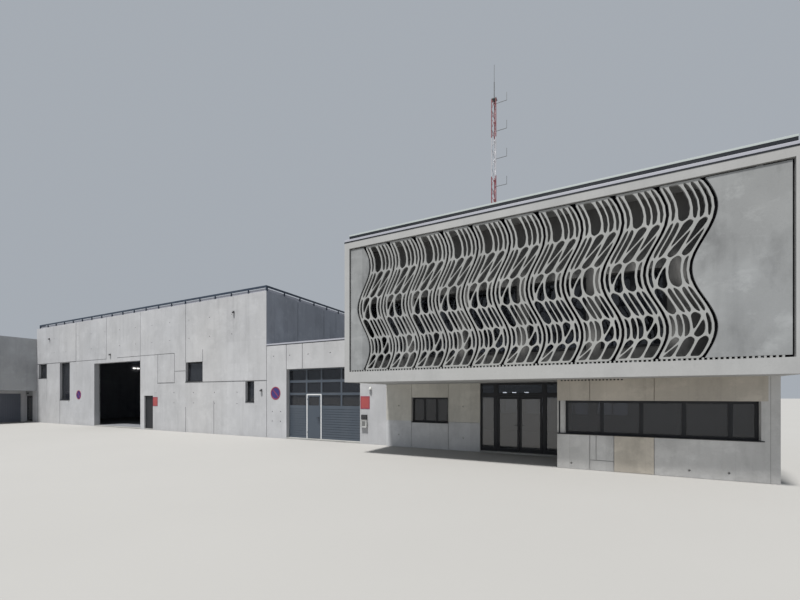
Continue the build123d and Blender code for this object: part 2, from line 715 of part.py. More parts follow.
def cell_points(centre, half, low, high, first, last):
    """The corners of one pointed cell, clipped to the band's sides."""
    screen_low, screen_high = screen_z()
    tip = LATTICE_TIP / (screen_high - screen_low)
    border = LATTICE_BORDER / (screen_high - screen_low)
    rise = [(-1, -1), (-1, 1), (0, 1), (1, 1), (1, -1), (0, -1)]
    points = []
    for side, end in rise:
        across = min(max(centre + side * half, 0), 1)
        pointed = 1 if side == 0 else -1
        level = high + pointed * tip if end > 0 else low - pointed * tip
        if end > 0 and last:
            level = 1 - border
        if end < 0 and first:
            level = border
        points.append((across, level))
    return points


def band_cells():
    """The corner points of every cell in a band, row by row."""
    levels = row_levels()
    half = 0.5 / LATTICE_CELLS_ACROSS
    cells = []
    for row in range(LATTICE_ROWS):
        shifted = row % 2 == 1
        count = LATTICE_CELLS_ACROSS + (1 if shifted else 0)
        for column in range(count):
            centre = 2 * half * column + (0 if shifted else half)
            cells.append(cell_points(centre, half, levels[row], levels[row + 1],
                                     row == 0, row == LATTICE_ROWS - 1))
    return cells


def distinct(points):
    """Points without those that repeat the one before."""
    kept = []
    for point in points:
        if not kept or math.dist(point, kept[-1]) > 1:
            kept.append(point)
    return kept if math.dist(kept[0], kept[-1]) > 1 else kept[:-1]


def inset(points, amount):
    """A convex outline moved inwards by the same amount on every side."""
    moved = []
    count = len(points)
    area = sum(points[i - 1][0] * points[i][1] - points[i][0] * points[i - 1][1] for i in range(count))
    turn = 1 if area > 0 else -1
    for index in range(count):
        before = Vector(*points[index]) - Vector(*points[index - 1])
        after = Vector(*points[(index + 1) % count]) - Vector(*points[index])
        first = Vector(-before.Y, before.X).normalized() * turn
        second = Vector(-after.Y, after.X).normalized() * turn
        step = (first + second) * (amount / (1 + first.dot(second)))
        moved.append((points[index][0] + step.X, points[index][1] + step.Y))
    return moved


def plate(outline, holes):
    """An upright plate of the screen's thickness with holes in it."""
    front = OFFICE_FRONT + SCREEN_SETBACK
    plane = Plane(origin=(0, front, 0), x_dir=(1, 0, 0), z_dir=(0, -1, 0))
    face = make_face(Polyline(*outline, close=True))
    for hole in holes:
        face -= make_face(Polyline(*hole, close=True))
    return extrude(plane * face, amount=-SCREEN_THICKNESS)


def band_side(across, shift):
    """The points up one side of a band."""
    steps = LATTICE_OUTLINE_STEPS
    points = [band_point(across, step / steps) for step in range(steps + 1)]
    return [(x + shift, z) for x, z in points]


def lattice_band():
    """One band of the lattice, with its left side on x = 0 before it sways."""
    joint = LATTICE_SHADOW_JOINT / 2
    outline = band_side(0, joint) + band_side(1, -joint)[::-1]
    margin = (joint + LATTICE_BORDER - LATTICE_STRUT / 2) / LATTICE_PITCH
    holes = []
    for cell in band_cells():
        clear = [(min(max(across, margin), 1 - margin), level) for across, level in cell]
        corners = distinct([band_point(across, level) for across, level in clear])
        holes.append(inset(corners, LATTICE_STRUT / 2))
    return plate(outline, holes)


def screen():
    first = OFFICE_LEFT + LATTICE_LEFT + FRAME_SIDE
    band = lattice_band()
    bands = [Pos(first + step * LATTICE_PITCH, 0, 0) * band for step in range(LATTICE_BANDS)]
    half = LATTICE_BANDS // 2
    low, high = screen_z()
    joint = LATTICE_SHADOW_JOINT / 2
    edge = OFFICE_LEFT + FRAME_SIDE + SCREEN_EDGE_GAP
    left_side = [(x + first, z) for x, z in band_side(0, -joint)]
    right_side = [(x + first + (LATTICE_BANDS - 1) * LATTICE_PITCH, z) for x, z in band_side(1, joint)]
    far = OFFICE_RIGHT - FRAME_SIDE - SCREEN_EDGE_GAP
    ends = [plate([(edge, low), *left_side, (edge, high)], []),
            plate([(far, low), *right_side, (far, high)], [])]
    return {
        "screen_lattice_left": node(*bands[:half]),
        "screen_lattice_right": node(*bands[half:]),
        "screen_end_panels": node(*ends),
        "screen_fixings": node(*fixings(first, edge, far)),
    }


def fixings(first, edge, far):
    """Small blocks that hold the screen off the floor slab and the roof slab."""
    y = (OFFICE_FRONT + SCREEN_SETBACK, OFFICE_FRONT + SCREEN_SETBACK + SCREEN_THICKNESS)
    low, high = screen_z()
    blocks = []
    for z, level in (((FIRST_FLOOR, low), 0), ((high, OFFICE_CEILING), 1)):
        places = [first + (step + 0.5) * LATTICE_PITCH + sway(level) for step in range(LATTICE_BANDS)]
        places += [(far + places[-1] + LATTICE_PITCH) / 2, edge + FIXING_LENGTH]
        for x in places:
            blocks.append(block((x - FIXING_LENGTH / 2, x + FIXING_LENGTH / 2), y, z))
    return blocks


# Mast

def bar(start, end, width):
    """A square bar between two points."""
    axis = Vector(*end) - Vector(*start)
    plane = Plane(origin=start, z_dir=axis)
    return extrude(plane * Rectangle(width, width), amount=axis.length)


def mast_corners():
    """The middles of the three legs, two of them at the front."""
    x = OFFICE_LEFT + MAST_FROM_OFFICE_LEFT
    y = HALL_FRONT + MAST_FROM_HALL_FRONT
    half = MAST_FACE / 2 - MAST_LEG / 2
    return [(x - half, y - half), (x + half, y - half), (x, y - half + half * math.sqrt(3))]


def mast_section(low):
    """One section of the mast: three legs and a zigzag of bracing on each face."""
    high = low + MAST_SECTION
    bay_height = MAST_SECTION / MAST_SECTION_BAYS
    corners = mast_corners()
    section = None
    for cx, cy in corners:
        leg = block((cx - MAST_LEG / 2, cx + MAST_LEG / 2), (cy - MAST_LEG / 2, cy + MAST_LEG / 2),
                    (low, high))
        section = leg if section is None else section + leg
    for bay in range(MAST_SECTION_BAYS):
        z = low + bay * bay_height
        for side in range(3):
            a, b = corners[side], corners[(side + 1) % 3]
            if bay % 2:
                a, b = b, a
            top = z + bay_height - MAST_LEG / 2
            section += bar((*a, z + MAST_LEG / 2), (*b, top), MAST_BRACE)
    return section


def mast():
    base = OFFICE_HEIGHT
    sections = [mast_section(base + step * MAST_SECTION) for step in range(MAST_SECTIONS)]
    x = OFFICE_LEFT + MAST_FROM_OFFICE_LEFT
    y = HALL_FRONT + MAST_FROM_HALL_FRONT
    top = base + MAST_SECTIONS * MAST_SECTION
    side = MAST_FACE / 2
    antennas = []
    for step in range(ANTENNAS):
        level = top - ANTENNA_DROP - step * ANTENNA_PITCH
        z = (level - ANTENNA_ROD, level)
        arm = block((x + side, x + side + ANTENNA_ARM), (y - side, y - side + ANTENNA_ROD), z)
        rod_x = x + side + ANTENNA_ARM
        arm += block((rod_x - ANTENNA_ROD, rod_x), (y - side, y - side + ANTENNA_ROD),
                     (level - ANTENNA_ROD, level + ANTENNA_LENGTH))
        antennas.append(arm)
    head = block((x - side, x + side), (y - side, y + side), (top, top + MAST_LEG))
    head += upright(2 * WHIP_RADIUS, x, y, (top + MAST_LEG, top + MAST_HEAD))
    head += upright(WHIP_RADIUS, x, y, (top + MAST_HEAD, top + MAST_HEAD + WHIP_LENGTH))
    return {
        "mast_red_sections": node(*sections[0::2]),
        "mast_white_sections": node(*sections[1::2]),
        "mast_antennas": node(*antennas, head),
    }


# Wing

def wing():
    west = (WING_LEFT, WING_LEFT + WALL)
    height = (0, WING_HEIGHT)
    ends_x = (west[1] + PANEL_JOINT, HALL_LEFT)
    upper_x = (HALL_LEFT - WALL, HALL_LEFT)
    upper_y = (WING_FRONT + WALL, WING_BACK - WALL)
    garage_x = (HALL_LEFT - WING_GARAGE_SETBACK - WALL, HALL_LEFT - WING_GARAGE_SETBACK)
    garage_y = (upper_y[0], HALL_FRONT + WALL)
    door_x = (garage_x[1], garage_x[1] + WING_DOOR_WIDTH)
    front = (HALL_FRONT, HALL_FRONT + WALL)
    floor = (WING_SOFFIT, WING_SOFFIT + WING_SLAB)
    roof = (WING_HEIGHT - WING_ROOF_DROP - WING_SLAB, WING_HEIGHT - WING_ROOF_DROP)
    garage_wall = block(garage_x, garage_y, (0, WING_SOFFIT))
    doors = []
    for step in range(GARAGE_DOORS):
        right = HALL_FRONT - GARAGE_FIRST_PIER - step * GARAGE_DOOR_PITCH
        y = (right - GARAGE_DOOR_WIDTH, right)
        garage_wall -= block(wider(garage_x), y, (-CUT_MARGIN, GARAGE_DOOR_HEIGHT))
        x = (garage_x[1] - SECTIONAL_SETBACK, garage_x[1] - SECTIONAL_SETBACK + SECTIONAL_THICKNESS)
        doors.append(block(x, y, (0, GARAGE_DOOR_HEIGHT)))
    slab_x = (west[1], upper_x[0])
    frame, leaf, pane = single_door(door_x, DOOR_HEIGHT, HALL_FRONT + DOOR_SETBACK, -1,
                                    SLAB_ON_GROUND + SWING_GAP + GLAZING_BOTTOM_RAIL)
    parts = {
        "wing_outer_walls": node(
            wing_west_wall(west, height),
            block(ends_x, (WING_FRONT, WING_FRONT + WALL), height),
            block(ends_x, (WING_BACK - WALL, WING_BACK), height)),
        "wing_upper_wall": block(upper_x, upper_y, (WING_SOFFIT, WING_HEIGHT)),
        "wing_garage_wall": garage_wall,
        "wing_garage_doors": node(*doors),
        "wing_door_wall": block((door_x[1], HALL_LEFT), front, (0, WING_SOFFIT)),
        "wing_slabs": node(block(slab_x, upper_y, floor), block(slab_x, upper_y, roof)),
        "wing_door": leaf,
        "wing_door_glass": pane,
    }
    lintel = block(door_x, front, (DOOR_HEIGHT, WING_SOFFIT))
    return parts, lintel, frame


def wing_west_wall(west, height):
    wall = block(west, (WING_FRONT, WING_BACK), height)
    left, width, sill, tall = WING_WINDOW
    for y in wing_window_places(left, width):
        wall -= block(wider(west), y, (sill, sill + tall))
    return wall


def wing_window_places(left, width):
    pitch = (WING_BACK - WING_FRONT) / WING_WINDOWS
    return [(WING_FRONT + step * pitch + left, WING_FRONT + step * pitch + left + width)
            for step in range(WING_WINDOWS)]


def wing_windows():
    """The frames and panes of the wing's windows, which face away from the hall."""
    left, width, sill, tall = WING_WINDOW
    x = (WING_LEFT + WINDOW_SETBACK, WING_LEFT + WINDOW_SETBACK + WINDOW_FRAME_DEPTH)
    middle = (x[0] + x[1]) / 2
    frames, panes = [], []
    for y in wing_window_places(left, width):
        light_y = (y[0] + WINDOW_FRAME, y[1] - WINDOW_FRAME)
        light_z = (sill + WINDOW_FRAME, sill + tall - WINDOW_FRAME)
        frame = block(x, y, (sill, sill + tall))
        frames.append(frame - block(wider(x), light_y, light_z))
        panes.append(block((middle - GLASS / 2, middle + GLASS / 2), light_y, light_z))
    return frames, panes


# Floors on the ground and small fittings

def ground_slabs():
    z = (0, SLAB_ON_GROUND)
    garage_right = HALL_LEFT - WING_GARAGE_SETBACK - WALL
    inner = HALL_FRONT + WALL
    bay_left = HALL_LEFT + BAY_OPENING_LEFT
    opening_left = LINK_LEFT + LINK_OPENING_LEFT
    hall_slab = block((HALL_LEFT + WALL, LINK_LEFT - WALL), (inner, HALL_BACK - WALL), z)
    hall_slab += block((bay_left, bay_left + BAY_OPENING_WIDTH), (HALL_FRONT, inner), z)
    door_left = HALL_LEFT + HALL_DOOR_LEFT
    hall_slab += block((door_left, door_left + HALL_DOOR_WIDTH), (HALL_FRONT, inner), z)
    link_slab = block((LINK_LEFT, OFFICE_LEFT), (inner, OFFICE_BACK - WALL), z)
    link_slab += block((opening_left, opening_left + LINK_OPENING_WIDTH), (HALL_FRONT, inner), z)
    glazing = (OFFICE_LEFT + GLAZING_LEFT, BAY_LEFT)
    office_back = OFFICE_BACK - WALL
    wall_inner = ENTRANCE_FRONT + WALL
    office_slab = block((OFFICE_LEFT + WALL, GROUND_RIGHT - WALL), (wall_inner, office_back), z)
    office_slab += block(glazing, (ENTRANCE_FRONT, wall_inner), z)
    office_slab += block((BAY_LEFT + WALL, GROUND_RIGHT - WALL), (BAY_FRONT + WALL, wall_inner), z)
    wing_west = WING_LEFT + WALL
    wing_slab = block((wing_west, garage_right), (WING_FRONT + WALL, inner), z)
    wing_slab += block((wing_west, HALL_LEFT), (inner, WING_BACK - WALL), z)
    wing_door_left = garage_right + WALL
    wing_slab += block((wing_door_left, wing_door_left + WING_DOOR_WIDTH), (HALL_FRONT, inner), z)
    return node(hall_slab, link_slab, office_slab, wing_slab)


def on_wall(x, z, width, height, face, depth):
    """A flat piece fixed to the front of a wall."""
    return block((x - width / 2, x + width / 2), (face - depth, face), (z - height / 2, z + height / 2))


def fittings():
    lamp_places = [(HALL_LEFT + x, z) for x, z in HALL_LAMPS]
    lamp_places += [(LINK_LEFT + x, z) for x, z in HALL_RIGHT_LAMPS]
    lamp_places.append((OFFICE_LEFT + PIER_LAMP[0], PIER_LAMP[1]))
    lamp_places.append((HALL_LEFT + WING_LAMP[0], WING_LAMP[1]))
    lamps = [on_wall(x, z, LAMP_SIZE, LAMP_HEIGHT, HALL_FRONT, LAMP_SIZE) for x, z in lamp_places]
    plate_places = ((HALL_LEFT + HALL_PLATE[0], HALL_PLATE[1]), (OFFICE_LEFT + PIER_PLATE[0], PIER_PLATE[1]))
    plates = [on_wall(x, z, *PLATE_SIZE, HALL_FRONT, PLATE_THICKNESS) for x, z in plate_places]
    discs = []
    for x, z in ((HALL_LEFT + HALL_DISC[0], HALL_DISC[1]), (LINK_LEFT + LINK_DISC[0], LINK_DISC[1])):
        plane = Plane(origin=(x, HALL_FRONT, z), x_dir=(1, 0, 0), z_dir=(0, -1, 0))
        discs.append(extrude(plane * RegularPolygon(DISC_RADIUS, DISC_SIDES), amount=PLATE_THICKNESS))
    intercom = on_wall(OFFICE_LEFT + INTERCOM[0], INTERCOM[1], *INTERCOM_SIZE, HALL_FRONT,
                        INTERCOM_DEPTH)
    return {"wall_lamps": node(*lamps), "sign_plates": node(*plates), "sign_discs": node(*discs),
            "intercom": intercom}


def station():
    """Every node of the building by name."""
    parts, hall_lintels, hall_door_frame, hall_copings = hall()
    link_parts, link_lintel, copings, sectional_panes = link()
    office_parts, office_coping, entrance_panes = office()
    wing_parts, wing_lintel, wing_door_frame = wing()
    for more in (link_parts, office_parts, screen(), mast(), wing_parts, fittings()):
        parts.update(more)
    hall_glazing = hall_windows() + hall_back_windows()
    office_glazing = [*office_front_windows(), *screen_windows(),
                      *office_back_windows(SMALL_WINDOW[2], SMALL_WINDOW[3]),
                      *office_back_windows(SCREEN_WINDOW[2], SCREEN_WINDOW[3])]
    wing_frames, wing_panes = wing_windows()
    parts["ground_slabs"] = ground_slabs()
    parts["lintels"] = node(*hall_lintels, link_lintel, wing_lintel)
    parts["door_frames"] = node(hall_door_frame, wing_door_frame)
    parts["copings"] = node(*hall_copings, *copings, *office_coping)
    parts["hall_window_frames"] = node(*frames_of(hall_glazing), *wing_frames)
    parts["office_window_frames"] = node(*frames_of(office_glazing))
    parts["window_glass"] = node(*panes_of(hall_glazing), *panes_of(office_glazing), *wing_panes,
                                 *sectional_panes, *entrance_panes)
    return parts


os.makedirs("parts", exist_ok=True)
for name, shape in station().items():
    export_step(shape, f"parts/{name}.step")
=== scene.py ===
import math
from contextlib import contextmanager

import bpy
from bpy.props import FloatProperty, FloatVectorProperty, IntProperty, PointerProperty
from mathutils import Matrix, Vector


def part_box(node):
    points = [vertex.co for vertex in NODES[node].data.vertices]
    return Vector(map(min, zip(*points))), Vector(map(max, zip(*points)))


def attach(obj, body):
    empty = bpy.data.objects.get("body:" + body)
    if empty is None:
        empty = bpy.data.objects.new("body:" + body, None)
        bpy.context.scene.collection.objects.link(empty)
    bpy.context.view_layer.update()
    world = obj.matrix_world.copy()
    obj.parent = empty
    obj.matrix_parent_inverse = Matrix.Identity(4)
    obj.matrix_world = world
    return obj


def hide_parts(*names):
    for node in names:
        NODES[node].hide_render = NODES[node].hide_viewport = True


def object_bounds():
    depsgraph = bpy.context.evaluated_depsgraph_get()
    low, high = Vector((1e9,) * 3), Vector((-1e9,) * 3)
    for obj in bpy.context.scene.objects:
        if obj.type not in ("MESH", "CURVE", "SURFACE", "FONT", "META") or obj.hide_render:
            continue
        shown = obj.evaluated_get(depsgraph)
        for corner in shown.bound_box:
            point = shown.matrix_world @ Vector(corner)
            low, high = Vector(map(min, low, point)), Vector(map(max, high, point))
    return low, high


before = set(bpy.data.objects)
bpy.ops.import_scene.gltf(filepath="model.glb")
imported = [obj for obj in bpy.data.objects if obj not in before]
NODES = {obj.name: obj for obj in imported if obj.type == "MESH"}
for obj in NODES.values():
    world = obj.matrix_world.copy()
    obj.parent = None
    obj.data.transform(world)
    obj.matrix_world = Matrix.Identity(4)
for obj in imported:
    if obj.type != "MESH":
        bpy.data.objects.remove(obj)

bl_info = {
    "name": "Fire station finishes",
    "version": (1, 0, 0),
    "blender": (4, 5, 0),
    "location": "View3D > Sidebar > Station",
    "description": "Finishes of a fire station building at half scale",
    "category": "Object",
}

# The building is at half scale, in metres of the model. X runs along its front, Y into it, Z up.

X, Y, Z = range(3)
BUILDING = "building"
CAD_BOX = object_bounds()


def low(node):
    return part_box(node)[0]


def high(node):
    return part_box(node)[1]


def solids_of(node):
    """The low and high corner of each separate solid of a CAD node, from left to right."""
    mesh = NODES[node].data
    groups = []
    for face in mesh.polygons:
        corners = {tuple(round(value, 4) for value in mesh.vertices[index].co) for index in face.vertices}
        touching = [group for group in groups if group & corners]
        groups = [group for group in groups if not group & corners] + [corners.union(*touching)]
    boxes = [[Vector([end(values) for values in zip(*group)]) for end in (min, max)] for group in groups]
    return sorted(boxes, key=lambda box: tuple(box[0]))


(HALL_LEFT, _, _), (HALL_RIGHT, HALL_BACK, HALL_TOP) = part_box("hall_back_wall")
(OFFICE_LEFT, _, SOFFIT), (OFFICE_RIGHT, OFFICE_BACK, FIRST_FLOOR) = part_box("first_floor")
HALL_FRONT = low("hall_front_wall_left").y
OFFICE_TOP = high("office_roof").z
ENTRANCE_FACE = low("entrance_wall").y
BAY_FACE = low("bay_front_wall").y
# The long window in the projecting bay is the widest of those in its wall
STRIP_LOW, STRIP_HIGH = max(
    (box for box in solids_of("office_window_frames") if box[0].y < BAY_FACE + 0.1 and box[1].z < SOFFIT),
    key=lambda box: box[1].x - box[0].x)


# Settings that a user of the panel would change

def length(name, description, default, least=0.002):
    return FloatProperty(name=name, description=description, default=default, min=least, unit="LENGTH")


def colour(name, description, default):
    return FloatVectorProperty(name=name, description=description, default=default, subtype="COLOR")


class StationWalls(bpy.types.PropertyGroup):
    joint: length("Joint width", "Width of the open joints between wall panels", 0.017)
    depth: length("Joint depth", "Depth of the open joints", 0.025)
    fine_joint: length("Fine joint", "Width of the joints in the office's walls", 0.007)
    tie_radius: length("Tie hole radius", "Radius of the holes left by formwork ties", 0.015)
    pale: colour("Pale concrete", "Colour of the hall and the link", (0.42, 0.425, 0.44))
    warm: colour("Frame concrete", "Colour of the office's frame", (0.378, 0.381, 0.380))
    grey: colour("Grey concrete", "Colour of the office's ground floor", (0.52, 0.515, 0.505))


class StationScreen(bpy.types.PropertyGroup):
    rib: length("Rib", "Half the width of the ribs between two cells", 0.0112, 0.004)
    fine_rib: length("Fine rib", "Half the width of the ribs inside a cell", 0.0075, 0.003)
    rounding: IntProperty(name="Rounding", description="Subdivision levels that round the cells",
                          default=1, min=1, max=2)
    lattice: colour("Lattice", "Colour of the lattice", (0.305, 0.31, 0.305))
    panel: colour("Plain panels", "Colour of the plain panels beside the lattice", (0.25, 0.258, 0.262))


class StationMetal(bpy.types.PropertyGroup):
    frames: colour("Frames", "Colour of the window and door frames", (0.016, 0.017, 0.020))
    doors: colour("Doors", "Colour of the sectional doors", (0.058, 0.073, 0.094))
    rail: colour("Roof rail", "Colour of the rail round the hall's roof", (0.022, 0.035, 0.06))
    ribs: IntProperty(name="Door ribs", description="Grooves over the height of a closed door panel",
                      default=13, min=2, max=40)


class StationStage(bpy.types.PropertyGroup):
    floor: colour("Floor", "Colour of the floor round the building", (0.345, 0.338, 0.325))
    sun: FloatProperty(name="Key light", description="Strength of the light from the front left",
                       default=5.0, min=0.0)
    sky: FloatProperty(name="Fill light", description="Strength of the light from all round", default=0.45, min=0.0)


# Ways of making and finishing pieces

FACING_FRONT = (math.radians(90), 0, 0)
PICKING = {"VERT": (True, False, False), "EDGE": (False, True, False), "FACE": (False, False, True)}
MERGE_DISTANCE = 0.0001


def deselect():
    if bpy.context.object and bpy.context.object.mode != "OBJECT":
        bpy.ops.object.mode_set(mode="OBJECT")
    bpy.ops.object.select_all(action="DESELECT")


def choose(*pieces):
    """Selects these pieces alone and makes the first one active."""
    deselect()
    for piece in pieces:
        piece.select_set(True)
    bpy.context.view_layer.objects.active = pieces[0]


def settle(piece):
    """Puts a piece's object at the origin, with its place in its mesh."""
    choose(piece)
    bpy.ops.object.transform_apply(location=True, rotation=True, scale=True)
    return piece


def primitive(add, **settings):
    """A new primitive from one of Blender's operators, with its place in its mesh."""
    deselect()
    add(**settings)
    return settle(bpy.context.object)


def linked(name, data):
    """A new object of the scene that shows a mesh, a light or a camera."""
    made = bpy.data.objects.new(name, data)
    bpy.context.scene.collection.objects.link(made)
    return made


@contextmanager
def editing(piece, kind="FACE", whole=False):
    """Edit mode for one piece, with the whole of it selected or what its mesh holds as selected."""
    choose(piece)
    bpy.context.tool_settings.mesh_select_mode = PICKING[kind]
    bpy.ops.object.mode_set(mode="EDIT")
    if whole:
        bpy.ops.mesh.select_all(action="SELECT")
    yield
    bpy.ops.object.mode_set(mode="OBJECT")


def pick(piece, kind, chosen):
    """Sets which corners, edges or faces of a mesh are selected, by their numbers."""
    mesh = piece.data
    chosen = set(chosen)
    for name, parts in (("VERT", mesh.vertices), ("EDGE", mesh.edges), ("FACE", mesh.polygons)):
        parts.foreach_set("select", [name == kind and part.index in chosen for part in parts])


def pick_faces(piece, test):
    """Selects the faces whose centre and normal pass a test."""
    pick(piece, "FACE", [face.index for face in piece.data.polygons if test(face.center, face.normal)])


def modified(piece, kind, **settings):
    """Puts a modifier on a piece and applies it."""
    modifier = piece.modifiers.new(kind, kind)
    for key, value in settings.items():
        setattr(modifier, key, value)
    choose(piece)
    bpy.ops.object.modifier_apply(modifier=modifier.name)
    return piece


def eased(width, *pieces, segments=1):
    """Small rounded edges on each piece, so that they catch the light."""
    return [modified(piece, "BEVEL", width=width, segments=segments, limit_method="ANGLE",
                     angle_limit=math.radians(40)) for piece in pieces]


def block(near, far):
    near, far = Vector(near), Vector(far)
    return primitive(bpy.ops.mesh.primitive_cube_add, size=1, location=(near + far) / 2, scale=far - near)


def cylinder(centre, radius, depth, sides, turn=FACING_FRONT):
    return primitive(bpy.ops.mesh.primitive_cylinder_add, vertices=sides, radius=radius, depth=depth,
                     location=centre, rotation=turn)


def copied(piece, shift):
    """A copy with its own mesh, moved along the front."""
    made = linked(piece.name, piece.data.copy())
    made.location.x = shift
    return settle(made)


def copy_of_node(node):
    """A copy of a CAD node's mesh, merged, for a piece that stands for it."""
    piece = linked(node, NODES[node].data.copy())
    with editing(piece, whole=True):
        bpy.ops.mesh.remove_doubles(threshold=MERGE_DISTANCE)
        bpy.ops.mesh.dissolve_limited(angle_limit=math.radians(1))
    return piece


def join(pieces):
    choose(*pieces)
    if len(pieces) > 1:
        bpy.ops.object.join()
    return pieces[0]


def coat(piece, finish):
    piece.data.materials.clear()
    piece.data.materials.append(material(finish))


def finished(name, pieces, finish, node=None, body=BUILDING):
    """Joins pieces into one with its finish and body, in the place of a CAD node if it stands for one."""
    piece = join(pieces)
    piece.name = name
    coat(piece, finish)
    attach(piece, body)
    if node:
        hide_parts(node)


def eased_copy(node, ending, finish, width, segments=1):
    """A CAD node's copy with softened edges, which stands for it."""
    finished(node + ending, eased(width, copy_of_node(node), segments=segments), finish, node)


def hollowed(piece, axis, width):
    """Makes a ring of a block: an opening along one axis, with a rim of a given width."""
    pick_faces(piece, lambda centre, normal: abs(normal[axis]) > 0.9)
    with editing(piece):
        bpy.ops.mesh.inset(thickness=width, use_individual=True)
        bpy.ops.mesh.bridge_edge_loops()
    return piece


def sunk(piece, axis, side, width, depth):
    """Sinks the faces that look to one side of an axis into a piece, inside a rim."""
    pick_faces(piece, lambda centre, normal: normal[axis] * side > 0.9)
    with editing(piece):
        bpy.ops.mesh.inset(thickness=width, depth=-depth, use_individual=True)
    return piece


def cut_with(piece, cutters):
    """Takes the cutters out of a piece, all at once."""
    if cutters:
        tool = join(cutters)
        modified(piece, "BOOLEAN", operation="DIFFERENCE", solver="EXACT", use_self=True, object=tool)
        bpy.data.objects.remove(tool)


def carved(node, name, cutters, finish, body=BUILDING):
    """A CAD node's copy with cutters taken out of it, which stands for it."""
    piece = copy_of_node(node)
    cut_with(piece, cutters)
    finished(name, [piece], finish, node, body)


# Materials, all procedural on object coordinates

class Recipe:
    """A node tree being built round the shader of a new material."""

    def __init__(self, name):
        self.material = bpy.data.materials.new(name)
        self.material.use_nodes = True
        self.tree = self.material.node_tree
        self.place = self.node("ShaderNodeTexCoord").outputs["Object"]

    def put(self, socket, value):
        """Links an output to a socket, or sets the socket to a value."""
        if isinstance(value, bpy.types.NodeSocket):
            self.tree.links.new(value, socket)
        else:
            socket.default_value = (*value, 1.0) if socket.type == "RGBA" else value

    def node(self, kind, sockets=(), **settings):
        made = self.tree.nodes.new(kind)
        for key, value in settings.items():
            setattr(made, key, value)
        for key, value in dict(sockets).items():
            self.put(made.inputs[key], value)
        return made

    def noise(self, scale, detail=4.0, stretch=(1, 1, 1), offset=(0, 0, 0), rough=0.55):
        place = self.node("ShaderNodeMapping", {"Vector": self.place, "Scale": stretch, "Location": offset})
        return self.node("ShaderNodeTexNoise", {"Vector": place.outputs["Vector"], "Scale": scale,
                                                "Detail": detail, "Roughness": rough}).outputs["Fac"]

    def spots(self, scale):
        """The distance from the nearest of many scattered points."""
        made = self.node("ShaderNodeTexVoronoi", {"Vector": self.place, "Scale": scale}, feature="F1")
        return made.outputs["Distance"]

    def maths(self, operation, *values):
        return self.node("ShaderNodeMath", dict(enumerate(values)), operation=operation).outputs[0]

    def total(self, *terms):
        found = terms[0]
        for term in terms[1:]:
            found = self.maths("ADD", found, term)
        return found

    def ranged(self, value, start, stop, to_start=0.0, to_stop=1.0):
        return self.node("ShaderNodeMapRange", {"Value": value, "From Min": start, "From Max": stop,
                                                "To Min": to_start, "To Max": to_stop}).outputs["Result"]

    def blend(self, factor, first, second, mode="MIX"):
        """A colour between two, each a colour or an output."""
        return self.node("ShaderNodeMix", {0: factor, 6: first, 7: second}, data_type="RGBA",
                         blend_type=mode, clamp_result=True).outputs[2]

    def axes(self):
        return self.node("ShaderNodeSeparateXYZ", {0: self.place}).outputs

    def cell_tone(self, along, up, width, height):
        """A tone from 0 to 1 for each cell of a wall, the same in every run."""
        cell = [self.maths("FLOOR", self.maths("DIVIDE", value, size))
                for value, size in ((along, width), (up, height))]
        pair = self.node("ShaderNodeCombineXYZ", dict(enumerate(cell)))
        tone = self.node("ShaderNodeTexWhiteNoise", noise_dimensions="2D")
        self.put(tone.inputs["Vector"], pair.outputs[0])
        return tone.outputs["Value"]

    def seam(self, value, pitch, width):
        """1 on thin lines at a pitch, 0 between them."""
        part = self.maths("FRACT", self.maths("DIVIDE", value, pitch))
        return self.ranged(part, 0.0, width / pitch, 1.0, 0.0)

    def within(self, near, far):
        """1 inside a box, 0 outside."""
        mask = 1.0
        for value, start, stop in zip(self.axes(), near, far):
            mask = self.maths("MULTIPLY", self.maths("GREATER_THAN", value, start), mask)
            mask = self.maths("MULTIPLY", self.maths("LESS_THAN", value, stop), mask)
        return mask

    def bump(self, height, strength, distance):
        return self.node("ShaderNodeBump", {"Strength": strength, "Distance": distance,
                                            "Height": height}).outputs["Normal"]


def shade(tone, factor):
    return tuple(min(1.0, part * factor) for part in tone)


# Each of these takes a recipe and a colour, and gives what goes into the shader's sockets

